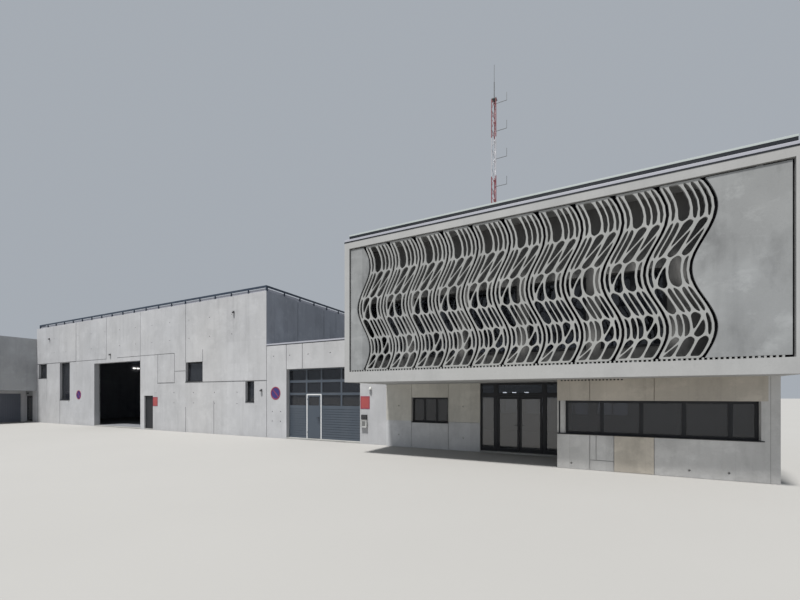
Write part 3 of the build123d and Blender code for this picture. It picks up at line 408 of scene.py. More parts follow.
def cast_concrete(mix, tone, board, mottle, streak, patches=(), tint=(1.0, 1.0, 1.0)):
    """Concrete cast in boards, with stains, runs, a damp foot and pores. A patch is two corners and a tint."""
    # The tint scales the whole colour; the hall's side walls use it for painted shade and sky light
    tone = tuple(part * share for part, share in zip(tone, tint))
    x, y, z = mix.axes()
    along = mix.total(x, mix.maths("MULTIPLY", y, 0.97))
    blotch = mix.noise(1.1, 5.0, offset=(3, 1, 7))
    cloud = mix.noise(0.35, 3.0, (1, 1, 0.7), (9, 4, 2))
    smear = mix.noise(3.4, 4.0, (1, 1, 0.45), (1, 8, 5), 0.62)
    bloom = mix.noise(1.9, 3.0, (1, 1, 0.8), (6, 2, 8))
    scum = mix.noise(2.7, 7.0, (1, 1, 1.3), (8, 8, 1), 0.66)
    runs = mix.noise(2.2, 6.0, (3.2, 3.2, 0.22), (5, 5, 1))
    grain = mix.noise(46.0, 6.0, rough=0.7)
    pores = mix.ranged(mix.spots(26.0), 0.06, 0.13, 1.0, 0.0)
    layers = (
        (mix.cell_tone(along, z, board, 4.7 * board), 0.0, 1.0, -0.5 * mottle, 0.5 * mottle),
        (mix.cell_tone(along, z, 4 * board, 6.1 * board), 0.0, 1.0, -0.5 * mottle, 0.5 * mottle),
        (mix.seam(along, board, 0.012), 0.0, 1.0, 0.0, -0.7 * mottle),
        (blotch, 0.3, 0.7, -mottle, mottle),
        (cloud, 0.3, 0.7, -0.6 * mottle, 0.6 * mottle),
        (smear, 0.50, 0.72, 0.0, -1.5 * mottle),
        (bloom, 0.52, 0.70, 0.0, 1.2 * mottle),
        (scum, 0.53, 0.62, 0.0, mottle),
        (runs, 0.52, 0.78, 0.0, -streak),
        (z, 0.0, 0.16, -0.5 * streak, 0.0),
        (grain, 0.3, 0.7, -0.035, 0.035),
        (pores, 0.0, 1.0, 0.0, -0.10),
    )
    level = mix.ranged(mix.total(*(mix.ranged(*layer) for layer in layers)), -0.5, 0.5)
    base = mix.blend(level, shade(tone, 0.5), shade(tone, 1.5))
    warm = mix.blend(mix.ranged(cloud, 0.35, 0.7), base, (1.0, 0.965, 0.90), "MULTIPLY")
    base = mix.blend(0.35, base, warm)
    for near, far, patch_tint in patches:
        tinted = mix.blend(1.0, base, patch_tint, "MULTIPLY")
        base = mix.blend(mix.within(near, far), base, tinted)
    relief = mix.maths("SUBTRACT", mix.maths("MULTIPLY", grain, 0.5), pores)
    return {"Base Color": base, "Roughness": mix.ranged(blotch, 0.3, 0.7, 0.78, 0.9),
            "Normal": mix.bump(relief, 0.35, 0.002)}


def powder_coat(mix, tone, gloss, shine=0.5, dust_tone=0.03):
    """Coated aluminium with a faint orange peel, dust and an uneven gloss."""
    dust = mix.noise(3.0, 5.0, (1, 1, 0.4), (2, 8, 3))
    pale = tuple(0.9 * part + dust_tone for part in tone)
    return {"Base Color": mix.blend(mix.ranged(dust, 0.42, 0.75, 0.0, 0.6), tone, pale),
            "Roughness": mix.ranged(dust, 0.3, 0.7, gloss, gloss + 0.16),
            "Specular IOR Level": shine,
            "Normal": mix.bump(mix.noise(260.0, 2.0), 0.08, 0.0004)}


def glazing(mix, tint, mirror):
    """Tinted glazing with a slight film of dust. Mirror is how much of a reflecting coat it has."""
    film = mix.noise(1.6, 4.0, (1, 1, 0.6), (4, 2, 6))
    return {"Base Color": mix.blend(mix.ranged(film, 0.35, 0.7), tint, shade(tint, 0.82)),
            "Roughness": mix.ranged(film, 0.3, 0.7, 0.02, 0.06),
            "Transmission Weight": 0.9, "IOR": 1.5, "Coat Weight": mirror, "Coat IOR": 1.9}


def bare_metal(mix, tone, gloss):
    """Galvanised or mill-finished metal with soft patches."""
    spangle = mix.spots(22.0)
    dull = mix.noise(4.0, 4.0, offset=(1, 6, 3))
    level = mix.maths("MULTIPLY", mix.ranged(spangle, 0.0, 0.8, 0.85, 1.1), mix.ranged(dull, 0.3, 0.7, 0.88, 1.05))
    return {"Base Color": mix.blend(mix.ranged(level, 0.7, 1.2), shade(tone, 0.7), shade(tone, 1.2)),
            "Metallic": 0.85, "Roughness": mix.ranged(dull, 0.3, 0.7, gloss, gloss + 0.2),
            "Normal": mix.bump(spangle, 0.05, 0.0005)}


def painted(mix, tone):
    """Weathered gloss paint on steel, with rusty chips."""
    fade = mix.noise(2.4, 5.0, (1, 1, 0.5), (7, 3, 1))
    chips = mix.noise(30.0, 6.0, rough=0.75)
    face = mix.blend(mix.ranged(fade, 0.35, 0.7), tone, shade(tone, 0.78))
    return {"Base Color": mix.blend(mix.ranged(chips, 0.66, 0.72), face, (0.22, 0.13, 0.09)),
            "Roughness": mix.ranged(fade, 0.3, 0.7, 0.34, 0.55),
            "Normal": mix.bump(chips, 0.12, 0.0008)}


def roofing(mix, tone):
    """Roof membrane with puddle marks, welded seams and a mineral grain."""
    puddle = mix.noise(0.55, 6.0, offset=(2, 9, 4))
    grit = mix.noise(90.0, 4.0, rough=0.7)
    face = mix.blend(mix.ranged(puddle, 0.45, 0.62), tone, shade(tone, 1.35))
    face = mix.blend(mix.ranged(grit, 0.35, 0.7, 0.0, 0.4), face, shade(tone, 0.6))
    x, y, _ = mix.axes()
    for value, pitch in ((x, 0.55), (y, 3.1)):
        face = mix.blend(mix.seam(value, pitch, 0.02), face, shade(tone, 0.55))
    return {"Base Color": face, "Roughness": mix.ranged(puddle, 0.3, 0.7, 0.78, 0.94),
            "Normal": mix.bump(grit, 0.3, 0.001)}


def glowing(mix, tone, strength):
    """The lit diffuser of a lamp, slightly uneven."""
    uneven = mix.ranged(mix.noise(12.0, 2.0), 0.3, 0.7)
    return {"Base Color": mix.blend(uneven, tone, shade(tone, 0.9)), "Roughness": 0.5,
            "Emission Color": tone, "Emission Strength": strength}


def even_floor(mix, tone):
    return {"Base Color": mix.blend(mix.noise(0.4, 3.0), shade(tone, 0.97), shade(tone, 1.03)), "Roughness": 0.9}


def inside(walls, head, front):
    """A patch of painted shade that darkens the faces inside a block's walls, with a bluish tint."""
    near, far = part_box(walls)
    return (near.x + 0.1, front + 0.12, -0.1), (far.x - 0.1, far.y + 0.02, head), (0.55, 0.57, 0.64)


def front_patch(face, depth, left, right, foot, head, tint):
    """A patch on one of the office's fronts, with its sides measured from the office's left side."""
    return (OFFICE_LEFT + left, face - 0.1, foot), (OFFICE_LEFT + right, face + depth, head), tint


# Painted shade and sky light: a darker, bluish tint for the hall's side walls and for its end wall above the link,
# besides their stains
SIDE_SHADE_TINT = (0.62, 0.66, 0.74)
HALL_END_SHADE = ((HALL_RIGHT - 0.003, HALL_FRONT + 0.003, high("link_roof").z),
            (HALL_RIGHT + 0.01, HALL_BACK, HALL_TOP), SIDE_SHADE_TINT)
OFFICE_WIDTH = OFFICE_RIGHT - OFFICE_LEFT
ENTRANCE_JOINT = 0.545
ENTRANCE_PATCHES = (
    # Painted shade inside the office's ground floor
    inside("office_ground_side_walls", 1.4, ENTRANCE_FACE),
    front_patch(ENTRANCE_FACE, 0.02, 0.0, OFFICE_WIDTH, ENTRANCE_JOINT, SOFFIT, (0.96, 0.945, 0.88)),
    front_patch(ENTRANCE_FACE, 0.02, 0.0, OFFICE_WIDTH, -0.1, ENTRANCE_JOINT, (0.93, 0.955, 1.0)))
# A beige panel below the bay's window, a darker, browner band above it that is painted shade and ground bounce under
# the soffit, and a dark line at its corner
BAY_PATCHES = (
    front_patch(BAY_FACE, 0.05, 4.154, 4.62, -0.1, STRIP_LOW.z, (1.08, 1.0, 0.88)),
    front_patch(BAY_FACE, 0.05, 0.0, 5.77, STRIP_HIGH.z, SOFFIT + 0.1, (0.86, 0.80, 0.71)),
    front_patch(BAY_FACE, 0.05, 5.787, 5.793, -0.1, SOFFIT + 0.1, (0.6, 0.6, 0.6)))
BACK_WALL_LOW, BACK_WALL_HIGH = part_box("screen_back_wall")
# Painted shade and light: the wall behind the screen is coloured dark for the shade of the frame and screen, and its
# foot is paler where light reaches it
LIT_FOOT_PATCH = (tuple(BACK_WALL_LOW), (*BACK_WALL_HIGH.xy, BACK_WALL_LOW.z + 0.27), (1.55, 1.55, 1.5))
WARM_WHITE = (1.0, 0.97, 0.9)

# Each finish: how it is made, its colour or the setting that holds it, and what else its maker takes
FINISHES = {
    # The hall's end wall above the link and the hall's side walls carry the painted shade tint besides their stains
    "pale_cast_concrete": (cast_concrete, "walls.pale", 0.41, 0.06, 0.13, (HALL_END_SHADE,)),
    "stained_side_concrete": (cast_concrete, "walls.pale", 0.41, 0.09, 0.22, (), SIDE_SHADE_TINT),
    "smooth_frame_concrete": (cast_concrete, "walls.warm", 0.93, 0.035, 0.05),
    "grey_cast_concrete": (cast_concrete, "walls.grey", 0.42, 0.09, 0.12, ENTRANCE_PATCHES),
    "bay_concrete": (cast_concrete, "walls.grey", 0.47, 0.11, 0.12, BAY_PATCHES),
    "wing_concrete": (cast_concrete, (0.35, 0.36, 0.375), 0.5, 0.07, 0.12),
    # A pale wall whose colour is also raised as painted light, for sun and bounce light in the wing's niche
    "light_wing_concrete": (cast_concrete, (0.62, 0.62, 0.64), 0.5, 0.05, 0.08),
    "lattice_fibre_concrete": (cast_concrete, "screen.lattice", 2.0, 0.07, 0.05),
    "panel_fibre_concrete": (cast_concrete, "screen.panel", 1.9, 0.16, 0.10),
    # Painted shade: the dark wall behind the screen, with its painted lit foot
    "back_wall_concrete": (cast_concrete, (0.145, 0.145, 0.143), 0.6, 0.06, 0.05, (LIT_FOOT_PATCH,)),
    # The floor inside the hall carries a painted shade patch
    "floated_floor_concrete": (cast_concrete, (0.30, 0.30, 0.29), 1.4, 0.10, 0.0,
                               (inside("hall_side_walls", 3.5, HALL_FRONT),)),
    "anthracite_coat": (powder_coat, "metal.frames", 0.36, 0.3, 0.018),
    "upstand_coat": (powder_coat, (0.014, 0.017, 0.022), 0.4, 0.25, 0.01),
    # Painted shade: a matt black with almost no shine for the flats behind the screen's gaps
    "shadow_gap_coat": (powder_coat, (0.003, 0.003, 0.004), 0.7, 0.04, 0.002),
    "blue_grey_coat": (powder_coat, "metal.doors", 0.4),
    "slate_coat": (powder_coat, (0.15, 0.165, 0.205), 0.4),
    "pale_coping": (powder_coat, (0.37, 0.375, 0.42), 0.45),
    "pale_cap": (powder_coat, (0.42, 0.46, 0.45), 0.45),
    "rail_coat": (powder_coat, "metal.rail", 0.4),
    "lamp_coat": (powder_coat, (0.03, 0.03, 0.033), 0.4),
    "pale_lamp_coat": (powder_coat, (0.6, 0.6, 0.58), 0.4),
    "white_coat": (powder_coat, (0.72, 0.73, 0.74), 0.4),
    "tinted_glazing": (glazing, (0.15, 0.165, 0.20), 0.0),
    "coated_glazing": (glazing, (0.10, 0.11, 0.13), 0.6),
    "brushed_steel": (bare_metal, (0.55, 0.55, 0.54), 0.3),
    "galvanised": (bare_metal, (0.42, 0.43, 0.44), 0.4),
    "antenna_aluminium": (bare_metal, (0.13, 0.135, 0.14), 0.5),
    "red_enamel": (painted, (0.38, 0.075, 0.075)),
    "blue_enamel": (painted, (0.045, 0.03, 0.17)),
    "crimson_enamel": (painted, (0.30, 0.035, 0.075)),
    "mast_red_paint": (painted, (0.20, 0.03, 0.04)),
    "mast_white_paint": (painted, (0.46, 0.46, 0.49)),
    "pale_roof_sheet": (roofing, (0.25, 0.255, 0.26)),
    "roof_membrane": (roofing, (0.16, 0.165, 0.17)),
    # Painted reflection: the glow of the entrance pendants stands for bright spots in the entrance glass
    "pendant_diffuser": (glowing, WARM_WHITE, 5.0),
    "lamp_diffuser": (glowing, WARM_WHITE, 1.6),
    "floor_finish": (even_floor, "stage.floor"),
}
MADE = {}


def material(finish):
    """The material of a finish, made once and then shared."""
    maker, tone, *amounts = FINISHES[finish]
    if isinstance(tone, str):
        group, key = tone.split(".")
        tone = tuple(getattr(getattr(bpy.context.scene, "station_" + group), key))
    if (finish, tone) not in MADE:
        mix = Recipe(finish)
        shader = mix.tree.nodes["Principled BSDF"]
        for socket, value in maker(mix, tone, *amounts).items():
            mix.put(shader.inputs[socket], value)
        MADE[finish, tone] = mix.material
    return MADE[finish, tone]


# Wall panels: joints and tie holes cut into copies of the plain walls. Each joint is given by x and z of its
# low end, then of its high end, and each tie hole by x and z, with x from the block's left side.

BELOW = -0.05
ABOVE = HALL_TOP + 0.05
LINK = HALL_RIGHT - HALL_LEFT
LINK_DOOR = low("sectional_door").x - 0.004 - HALL_LEFT
NEAR = 0.008
HALL_JOINTS = (
    (0.0, 2.313, 5.075, 2.313), (5.75, 2.325, 8.777, 2.325), (3.055, 2.313, 3.055, ABOVE),
    (5.075, 2.313, 5.075, ABOVE), (7.045, 2.185, 7.045, ABOVE), (9.3, 2.03, 9.3, ABOVE),
    (7.96, 1.445, 7.96, 2.325), (7.96, 1.445, 8.777, 1.445), (8.777, 1.445, 8.777, 2.325),
    (8.777, 1.785, 9.3, 1.785), (10.05, 2.03, 10.05, 2.36), (10.05, 1.445, 12.5, 1.445),
    (0.825, 0.88, 0.825, 1.75), (10.52, BELOW, 10.52, 0.91), (9.3, BELOW, 9.3, 0.72),
    (LINK_DOOR, 1.71, LINK_DOOR, 2.4), (LINK + 1.173, 1.71, LINK + 1.173, 2.4))
WIDE_JOINTS = (
    (1.85, BELOW, 1.85, 0.9), (-0.02, 2.313, 3.055, 2.313), (3.055, 2.313, 3.055, HALL_TOP - 0.4),
    (9.3, 1.445, 12.49, 1.445), (7.96, 1.445, 8.777, 1.445))
HALL_TIES = [
    *((x + step * 0.893, z) for z, x in ((0.85, 0.72), (1.15, 0.72), (2.72, 0.52), (3.25, 0.52))
      for step in range(13)),
    *((LINK + x, z) for x in (0.2, 0.48) for z in (0.42, 0.66)),
    *((LINK + x, 2.05) for x in (0.25, 0.78, 1.35, 2.0, 2.6))]
ENTRANCE_JOINTS = ((0.585, BELOW, 0.585, 1.4), (1.375, BELOW, 1.375, 1.4),
                   (1.375, ENTRANCE_JOINT, 2.05, ENTRANCE_JOINT))
BAY_JOINTS = (
    (3.85, BELOW, 3.85, 0.5), (4.15, BELOW, 4.15, 0.5), (3.85, 0.14, 4.15, 0.14), (3.93, 0.14, 3.93, 0.5),
    (4.62, BELOW, 4.62, 0.5), (3.85, 0.985, 3.85, 1.35), (4.62, 0.985, 4.62, 1.35))


def uprights(pitch, count, foot, head):
    """Upright joints at a pitch."""
    return [(step * pitch, foot, step * pitch, head) for step in range(1, count + 1)]


def panelled(node, finish, left, face, width, joints, ties=(), wide=(), recesses=(), name=None):
    """A copy of a wall with the joints, tie holes and recesses that lie on it."""
    walls = bpy.context.scene.station_walls
    node_low, node_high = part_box(node)
    cutters = []
    for lines, half in ((joints, width / 2), (wide, 0.8 * width)):
        for start_x, start_z, stop_x, stop_z in lines:
            starts = left + start_x, face, start_z
            stops = left + stop_x, face, stop_z
            if all(starts[i] - NEAR < node_high[i] and stops[i] + NEAR > node_low[i] for i in (X, Y, Z)):
                sizes = half, walls.depth, half
                cutters.append(block([starts[i] - sizes[i] for i in (X, Y, Z)],
                                     [stops[i] + sizes[i] for i in (X, Y, Z)]))
    cutters += [block(*corners) for corners in recesses]
    margin = 2 * walls.tie_radius
    for x, z in ties:
        if node_low.x + margin < left + x < node_high.x - margin and node_low.z + margin < z < node_high.z - margin:
            cutters.append(cylinder((left + x, face, z), walls.tie_radius, 2 * walls.depth, 12))
    carved(node, name or node + "_panels", cutters, finish)


def side_walls(walls):
    panels = 6
    pitch = (HALL_BACK - HALL_FRONT) / panels
    cutters = []
    for side in (HALL_LEFT, HALL_RIGHT):
        for step in range(1, panels):
            y = HALL_FRONT + step * pitch
            cutters.append(block((side - walls.depth, y - walls.joint / 2, BELOW),
                                 (side + walls.depth, y + walls.joint / 2, ABOVE)))
    # The side walls' finish carries painted shade as well as stains
    carved("hall_side_walls", "hall_side_wall_panels", cutters, "stained_side_concrete")


class STATION_OT_hall_walls(bpy.types.Operator):
    """Cuts the joints and tie holes into the hall's and the link's walls"""
    bl_idname = "station.hall_walls"
    bl_label = "Hall and link walls"

    def execute(self, context):
        width = context.scene.station_walls.joint
        for node in ("hall_front_wall_left", "hall_front_wall_right", "hall_door_pier", "link_front_walls",
                     "lintels"):
            panelled(node, "pale_cast_concrete", HALL_LEFT, HALL_FRONT, width, HALL_JOINTS, HALL_TIES, WIDE_JOINTS)
        side_walls(context.scene.station_walls)
        back_ties = [(0.4 + step * 0.9, z) for step in range(14) for z in (0.7, 2.7, 3.3)]
        panelled("hall_back_wall", "pale_cast_concrete", HALL_LEFT, HALL_BACK, width,
                 uprights(2.5, 4, BELOW, ABOVE), back_ties)
        return {"FINISHED"}


class STATION_OT_office_walls(bpy.types.Operator):
    """Cuts the joints and tie holes into the office's walls"""
    bl_idname = "station.office_walls"
    bl_label = "Office walls"

    def execute(self, context):
        width = context.scene.station_walls.fine_joint
        panelled("entrance_wall", "grey_cast_concrete", OFFICE_LEFT, ENTRANCE_FACE, width, ENTRANCE_JOINTS,
                 [(x, z) for x in (0.3, 1.68) for z in (0.25, 0.85)])
        corner = low("bay_front_wall").x
        recess = ((corner - 0.01, BAY_FACE - 0.01, STRIP_LOW.z), (STRIP_LOW.x - 0.001, BAY_FACE + 0.035, STRIP_HIGH.z))
        panelled("bay_front_wall", "bay_concrete", OFFICE_LEFT, BAY_FACE, width, BAY_JOINTS,
                 [(3.61, 0.08), (5.0, 0.09), (5.4, 0.09)], recesses=[recess])
        strip = block((corner + 0.018, BAY_FACE + 0.028, STRIP_LOW.z + 0.004),
                      (corner + 0.038, BAY_FACE + 0.04, STRIP_HIGH.z - 0.004))
        finished("bay_corner_strip", eased(0.002, strip), "anthracite_coat")
        for storey, finish, foot, head in (("ground", "grey_cast_concrete", BELOW, 1.4),
                                           ("upper", "smooth_frame_concrete", 1.4, 3.7)):
            node = f"office_{storey}_back_wall"
            panelled(node, finish, OFFICE_LEFT, high("office_ground_back_wall").y, width,
                     uprights(1.48, 3, foot, head), name=f"office_{storey}_back_panels")
        return {"FINISHED"}


# Lattice screen, with the same wave, bands and rows as the CAD's lattice has

BANDS = 10
BAND_PITCH = 0.465
BAND_JOINT = 0.034
BAND_BORDER = 0.012
FIRST_BAND = OFFICE_LEFT + 0.39
LAST_SIDE = FIRST_BAND + BANDS * BAND_PITCH
SWAY = 0.12
WAVES = 1.5
WAVE_STEPS = 48
CELL_COLUMNS = 6
CELL_ROWS = 6
ROW_GROWTH = 1.13
TIP = 0.055
# Gaps round the screen, and how much nearer it is to the frame's front than the plain solids are
FOOT_GAP, SIDE_GAP, TOP_GAP, SCREEN_SHIFT = 0.012, 0.008, 0.006, 0.022
(SCREEN_LEFT, _, SCREEN_FOOT), (SCREEN_RIGHT, _, SCREEN_HEAD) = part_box("screen_end_panels")
SCREEN_FRONT, SCREEN_REAR = (corner.y - SCREEN_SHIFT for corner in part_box("screen_end_panels"))
SCREEN_FOOT += FOOT_GAP
SCREEN_HEIGHT = SCREEN_HEAD - SCREEN_FOOT
# The plates' fixing distance behind them, and the size of the flats there
BEHIND = SCREEN_REAR + 0.001
FLAT_HALF = 0.02


def upright_sheet(left, right, foot, head, columns, rows, face=SCREEN_FRONT):
    """A flat upright grid that faces the front."""
    deselect()
    bpy.ops.mesh.primitive_grid_add(x_subdivisions=columns, y_subdivisions=rows, size=1, rotation=FACING_FRONT,
                                    location=((left + right) / 2, face, (foot + head) / 2))
    bpy.context.object.scale = (right - left, head - foot, 1)
    return settle(bpy.context.object)


def swayed(piece, moves=lambda x: True):
    """Moves a piece's corners along the wave that the bands follow."""
    for vertex in piece.data.vertices:
        if moves(vertex.co.x):
            vertex.co.x += SWAY * math.sin(2 * math.pi * WAVES * ((vertex.co.z - SCREEN_FOOT) / SCREEN_HEIGHT))
    return piece


def thickened(piece):
    """Gives a flat sheet the thickness of the screen's plates."""
    modified(piece, "SOLIDIFY", thickness=SCREEN_REAR - SCREEN_FRONT, offset=-1.0)
    with editing(piece, whole=True):
        bpy.ops.mesh.normals_make_consistent(inside=False)
    return piece


def lattice_band(screen):
    """One band, with its left side on x = 0 before it sways."""
    left = BAND_JOINT / 2
    width = BAND_PITCH - BAND_JOINT
    piece = upright_sheet(left, left + width, SCREEN_FOOT, SCREEN_HEAD, CELL_COLUMNS, CELL_ROWS)
    stagger(piece, left, width)
    with editing(piece, whole=True):
        bpy.ops.mesh.inset(thickness=BAND_BORDER, use_individual=False, use_boundary=True)
        bpy.ops.mesh.inset(thickness=screen.rib - screen.fine_rib, use_individual=True, use_even_offset=True)
    part_cells(piece)
    with editing(piece):
        bpy.ops.mesh.inset(thickness=screen.fine_rib, use_individual=True, use_even_offset=True)
        bpy.ops.mesh.delete(type="FACE")
        bpy.ops.mesh.select_all(action="SELECT")
        bpy.ops.mesh.subdivide(number_cuts=1)
    modified(piece, "SUBSURF", levels=screen.rounding, render_levels=screen.rounding)
    return thickened(swayed(piece))


def stagger(piece, left, width):
    """Turns a grid into staggered cells with pointed ends, in rows that grow towards the top."""
    mesh = piece.data

    def place(point):
        """The column and the row of the grid that a corner is on."""
        return (round((point.x - left) / width * CELL_COLUMNS),
                round((point.z - SCREEN_FOOT) / SCREEN_HEIGHT * CELL_ROWS))

    dropped = []
    for edge in mesh.edges:
        (column, row), (other_column, other_row) = (place(mesh.vertices[index].co) for index in edge.vertices)
        if column == other_column and 0 < column < CELL_COLUMNS and (column + min(row, other_row)) % 2:
            dropped.append(edge.index)
    pick(piece, "EDGE", dropped)
    with editing(piece, "EDGE"):
        bpy.ops.mesh.dissolve_edges(use_verts=False)
    heights = [ROW_GROWTH ** row for row in range(CELL_ROWS)]
    for vertex in piece.data.vertices:
        column, row = place(vertex.co)
        vertex.co.z = SCREEN_FOOT + sum(heights[:row]) / sum(heights) * SCREEN_HEIGHT
        if 0 < row < CELL_ROWS:
            vertex.co.z += -TIP / 2 if (column + row) % 2 else TIP / 2


def part_cells(piece):
    """Parts two cells in three for a fine rib, and selects the faces to open."""
    mesh = piece.data
    inner = [face for face in mesh.polygons if face.select]
    corners = {index for face in inner for index in face.vertices}
    ends = []
    for face in inner:
        rising = sorted(face.vertices, key=lambda index: mesh.vertices[index].co.z)
        lower, upper = (sorted(row, key=lambda index: mesh.vertices[index].co.x) for row in (rising[:3], rising[-3:]))
        kind = (round(face.center.x / 0.15) + 2 * round(face.center.z / 0.33)) % 3
        if len(rising) >= 6 and kind:
            ends += [lower[1], upper[1]] if kind == 1 else [lower[0], upper[2]]
    pick(piece, "VERT", ends)
    with editing(piece, "VERT"):
        bpy.ops.mesh.vert_connect()
    pick(piece, "FACE", [face.index for face in mesh.polygons if corners.issuperset(face.vertices)])


def end_panels():
    """The two plain panels, whose inner sides follow the outermost bands."""
    near, far = FIRST_BAND - BAND_JOINT / 2, LAST_SIDE + BAND_JOINT / 2
    panels = []
    for left, right, inner in ((SCREEN_LEFT + SIDE_GAP, near, near), (far, SCREEN_RIGHT - SIDE_GAP, far)):
        panel = upright_sheet(left, right, SCREEN_FOOT, SCREEN_HEAD - TOP_GAP, 2, WAVE_STEPS)
        panels.append(thickened(swayed(panel, lambda x: abs(x - inner) < MERGE_DISTANCE)))
    finished("screen_end_panels_smooth", panels, "panel_fibre_concrete", "screen_end_panels")


def carrier_shade_flats():
    """Flats behind the joints between the bands and round the screen, coloured matt black as painted shade in the
    gaps.
    """
    sides = FIRST_FLOOR + 0.001, OFFICE_TOP - 0.12
    flats = []
    for left, right, foot, head, depth in (
            (BACK_WALL_LOW.x + 0.001, SCREEN_LEFT + FLAT_HALF, *sides, 0.006),
            (SCREEN_RIGHT - FLAT_HALF, BACK_WALL_HIGH.x - 0.001, *sides, 0.006),
            (SCREEN_LEFT, SCREEN_RIGHT, SCREEN_HEAD - FLAT_HALF, low("office_roof").z - 0.001, 0.005),
            (SCREEN_LEFT, SCREEN_RIGHT, FIRST_FLOOR + 0.001, SCREEN_FOOT + 0.006, 0.005)):
        flats += eased(0.001, block((left, BEHIND, foot), (right, SCREEN_REAR + depth, head)))
    for step in range(BANDS + 1):
        middle = FIRST_BAND + step * BAND_PITCH
        flat = upright_sheet(middle - FLAT_HALF, middle + FLAT_HALF, SCREEN_FOOT + 0.004,
                             SCREEN_HEAD - 0.004, 1, WAVE_STEPS, BEHIND)
        flats.append(thickened(swayed(flat)))
    finished("screen_carriers", flats, "shadow_gap_coat")


class STATION_OT_lattice(bpy.types.Operator):
    """Models the lattice bands and the plain panels beside them"""
    bl_idname = "station.lattice"
    bl_label = "Lattice screen"

    def execute(self, context):
        band = lattice_band(context.scene.station_screen)
        half = BANDS // 2
        for node, first in (("screen_lattice_left", 0), ("screen_lattice_right", half)):
            bands = [copied(band, FIRST_BAND + step * BAND_PITCH) for step in range(first, first + half)]
            finished(node + "_ribs", bands, "lattice_fibre_concrete", node)
        bpy.data.objects.remove(band)
        end_panels()
        carrier_shade_flats()
        return {"FINISHED"}


# Sectional doors

GROOVE = 0.011


def level_grooves(left, right, face, depth, levels):
    """Cutters for level grooves in a panel that faces the front."""
    return [block((left, face - 0.01, level - GROOVE / 2), (right, face + depth, level + GROOVE / 2))
            for level in levels]


def wicket(levels):
    """The wicket door's grooves, and its lever on a round rose."""
    face = low("wicket_door").y
    grooves = level_grooves(low("wicket_glass").x - 0.015, high("wicket_glass").x + 0.015, face, 0.005, levels)
    carved("wicket_door", "wicket_door_ribbed", grooves, "blue_grey_coat", "wicket")
    x, z = high("wicket_door").x - 0.03, 0.53
    rose = cylinder((x, face - 0.003, z), 0.014, 0.006, 24)
    neck = cylinder((x, face - 0.013, z), 0.005, 0.026, 16)
    grip = block((x - 0.062, face - 0.029, z - 0.005), (x + 0.005, face - 0.021, z + 0.005))
    parts = [*eased(0.0015, rose, segments=2), *eased(0.001, neck, segments=2), *eased(0.0025, grip, segments=2)]
    finished("wicket_lever", parts, "anthracite_coat", body="wicket")


def garage_doors(count):
    """Upright grooves in the wing's garage doors, which face sideways."""
    face = high("wing_garage_doors").x
    cutters = []
    for door_low, door_high in solids_of("wing_garage_doors"):
        for step in range(1, count):
            y = door_low.y + (door_high.y - door_low.y) * step / count
            cutters.append(block((face - 0.008, y - GROOVE / 2, door_low.z + 0.02),
                                 (face + 0.02, y + GROOVE / 2, door_high.z - 0.02)))
    carved("wing_garage_doors", "wing_garage_doors_ribbed", cutters, "slate_coat")


class STATION_OT_sectional_doors(bpy.types.Operator):
    """Gives the closed door panels their grooves and the wicket door its lever"""
    bl_idname = "station.sectional_doors"
    bl_label = "Sectional doors"

    def execute(self, context):
        ribs = context.scene.station_metal.ribs
        door_low, door_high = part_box("sectional_door")
        frame_low, frame_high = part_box("wicket_frame")
        closed_top = low("wicket_glass").z - 0.03
        levels = [door_low.z + (closed_top - door_low.z) * step / ribs for step in range(1, ribs)]
        door = copy_of_node("sectional_door")
        for left, right in ((door_low.x, frame_low.x), (frame_high.x, door_high.x)):
            cut_with(door, level_grooves(left + 0.012, right - 0.012, door_low.y, 0.008, levels))
        finished("sectional_door_ribbed", [door], "blue_grey_coat", "sectional_door")
        wicket(levels)
        garage_doors(2 * ribs)
        return {"FINISHED"}


# Metalwork that keeps its CAD shape, with softened edges, and what is added to it

TRANSOM = 1.09


class STATION_OT_frames(bpy.types.Operator):
    """Softens the edges of the window and door frames and sets the panes"""
    bl_idname = "station.frames"
    bl_label = "Window and door frames"

    def execute(self, context):
        for node, width in (("hall_window_frames", 0.0025), ("office_window_frames", 0.0025),
                            ("door_frames", 0.002), ("entrance_frame", 0.002)):
            eased_copy(node, "_softened", "anthracite_coat", width)
        frame_low, frame_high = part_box("entrance_frame")

        def beside_doors(centre):
            return frame_low.x < centre.x < frame_high.x and abs(centre.y - frame_low.y) < 0.2 and centre.z < TRANSOM

        for name, beside, finish in (("entrance_side_panes", True, "coated_glazing"),
                                     ("window_panes", False, "tinted_glazing")):
            panes = copy_of_node("window_glass")
            pick_faces(panes, lambda centre, normal: beside_doors(centre) != beside)
            with editing(panes):
                bpy.ops.mesh.delete(type="FACE")
            finished(name, [panes], finish, "window_glass")
        return {"FINISHED"}


def upstand_cap():
    """The pale metal cap along the top of the dark upstand, a little proud of it."""
    proud = 0.003
    near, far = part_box("office_roof_upstand")
    cap = block((near.x - proud, near.y - proud, far.z - 0.024), (far.x + proud, far.y + proud, far.z + 0.002))
    finished("office_upstand_cap", eased(0.002, hollowed(cap, Z, 0.064)), "pale_cap")


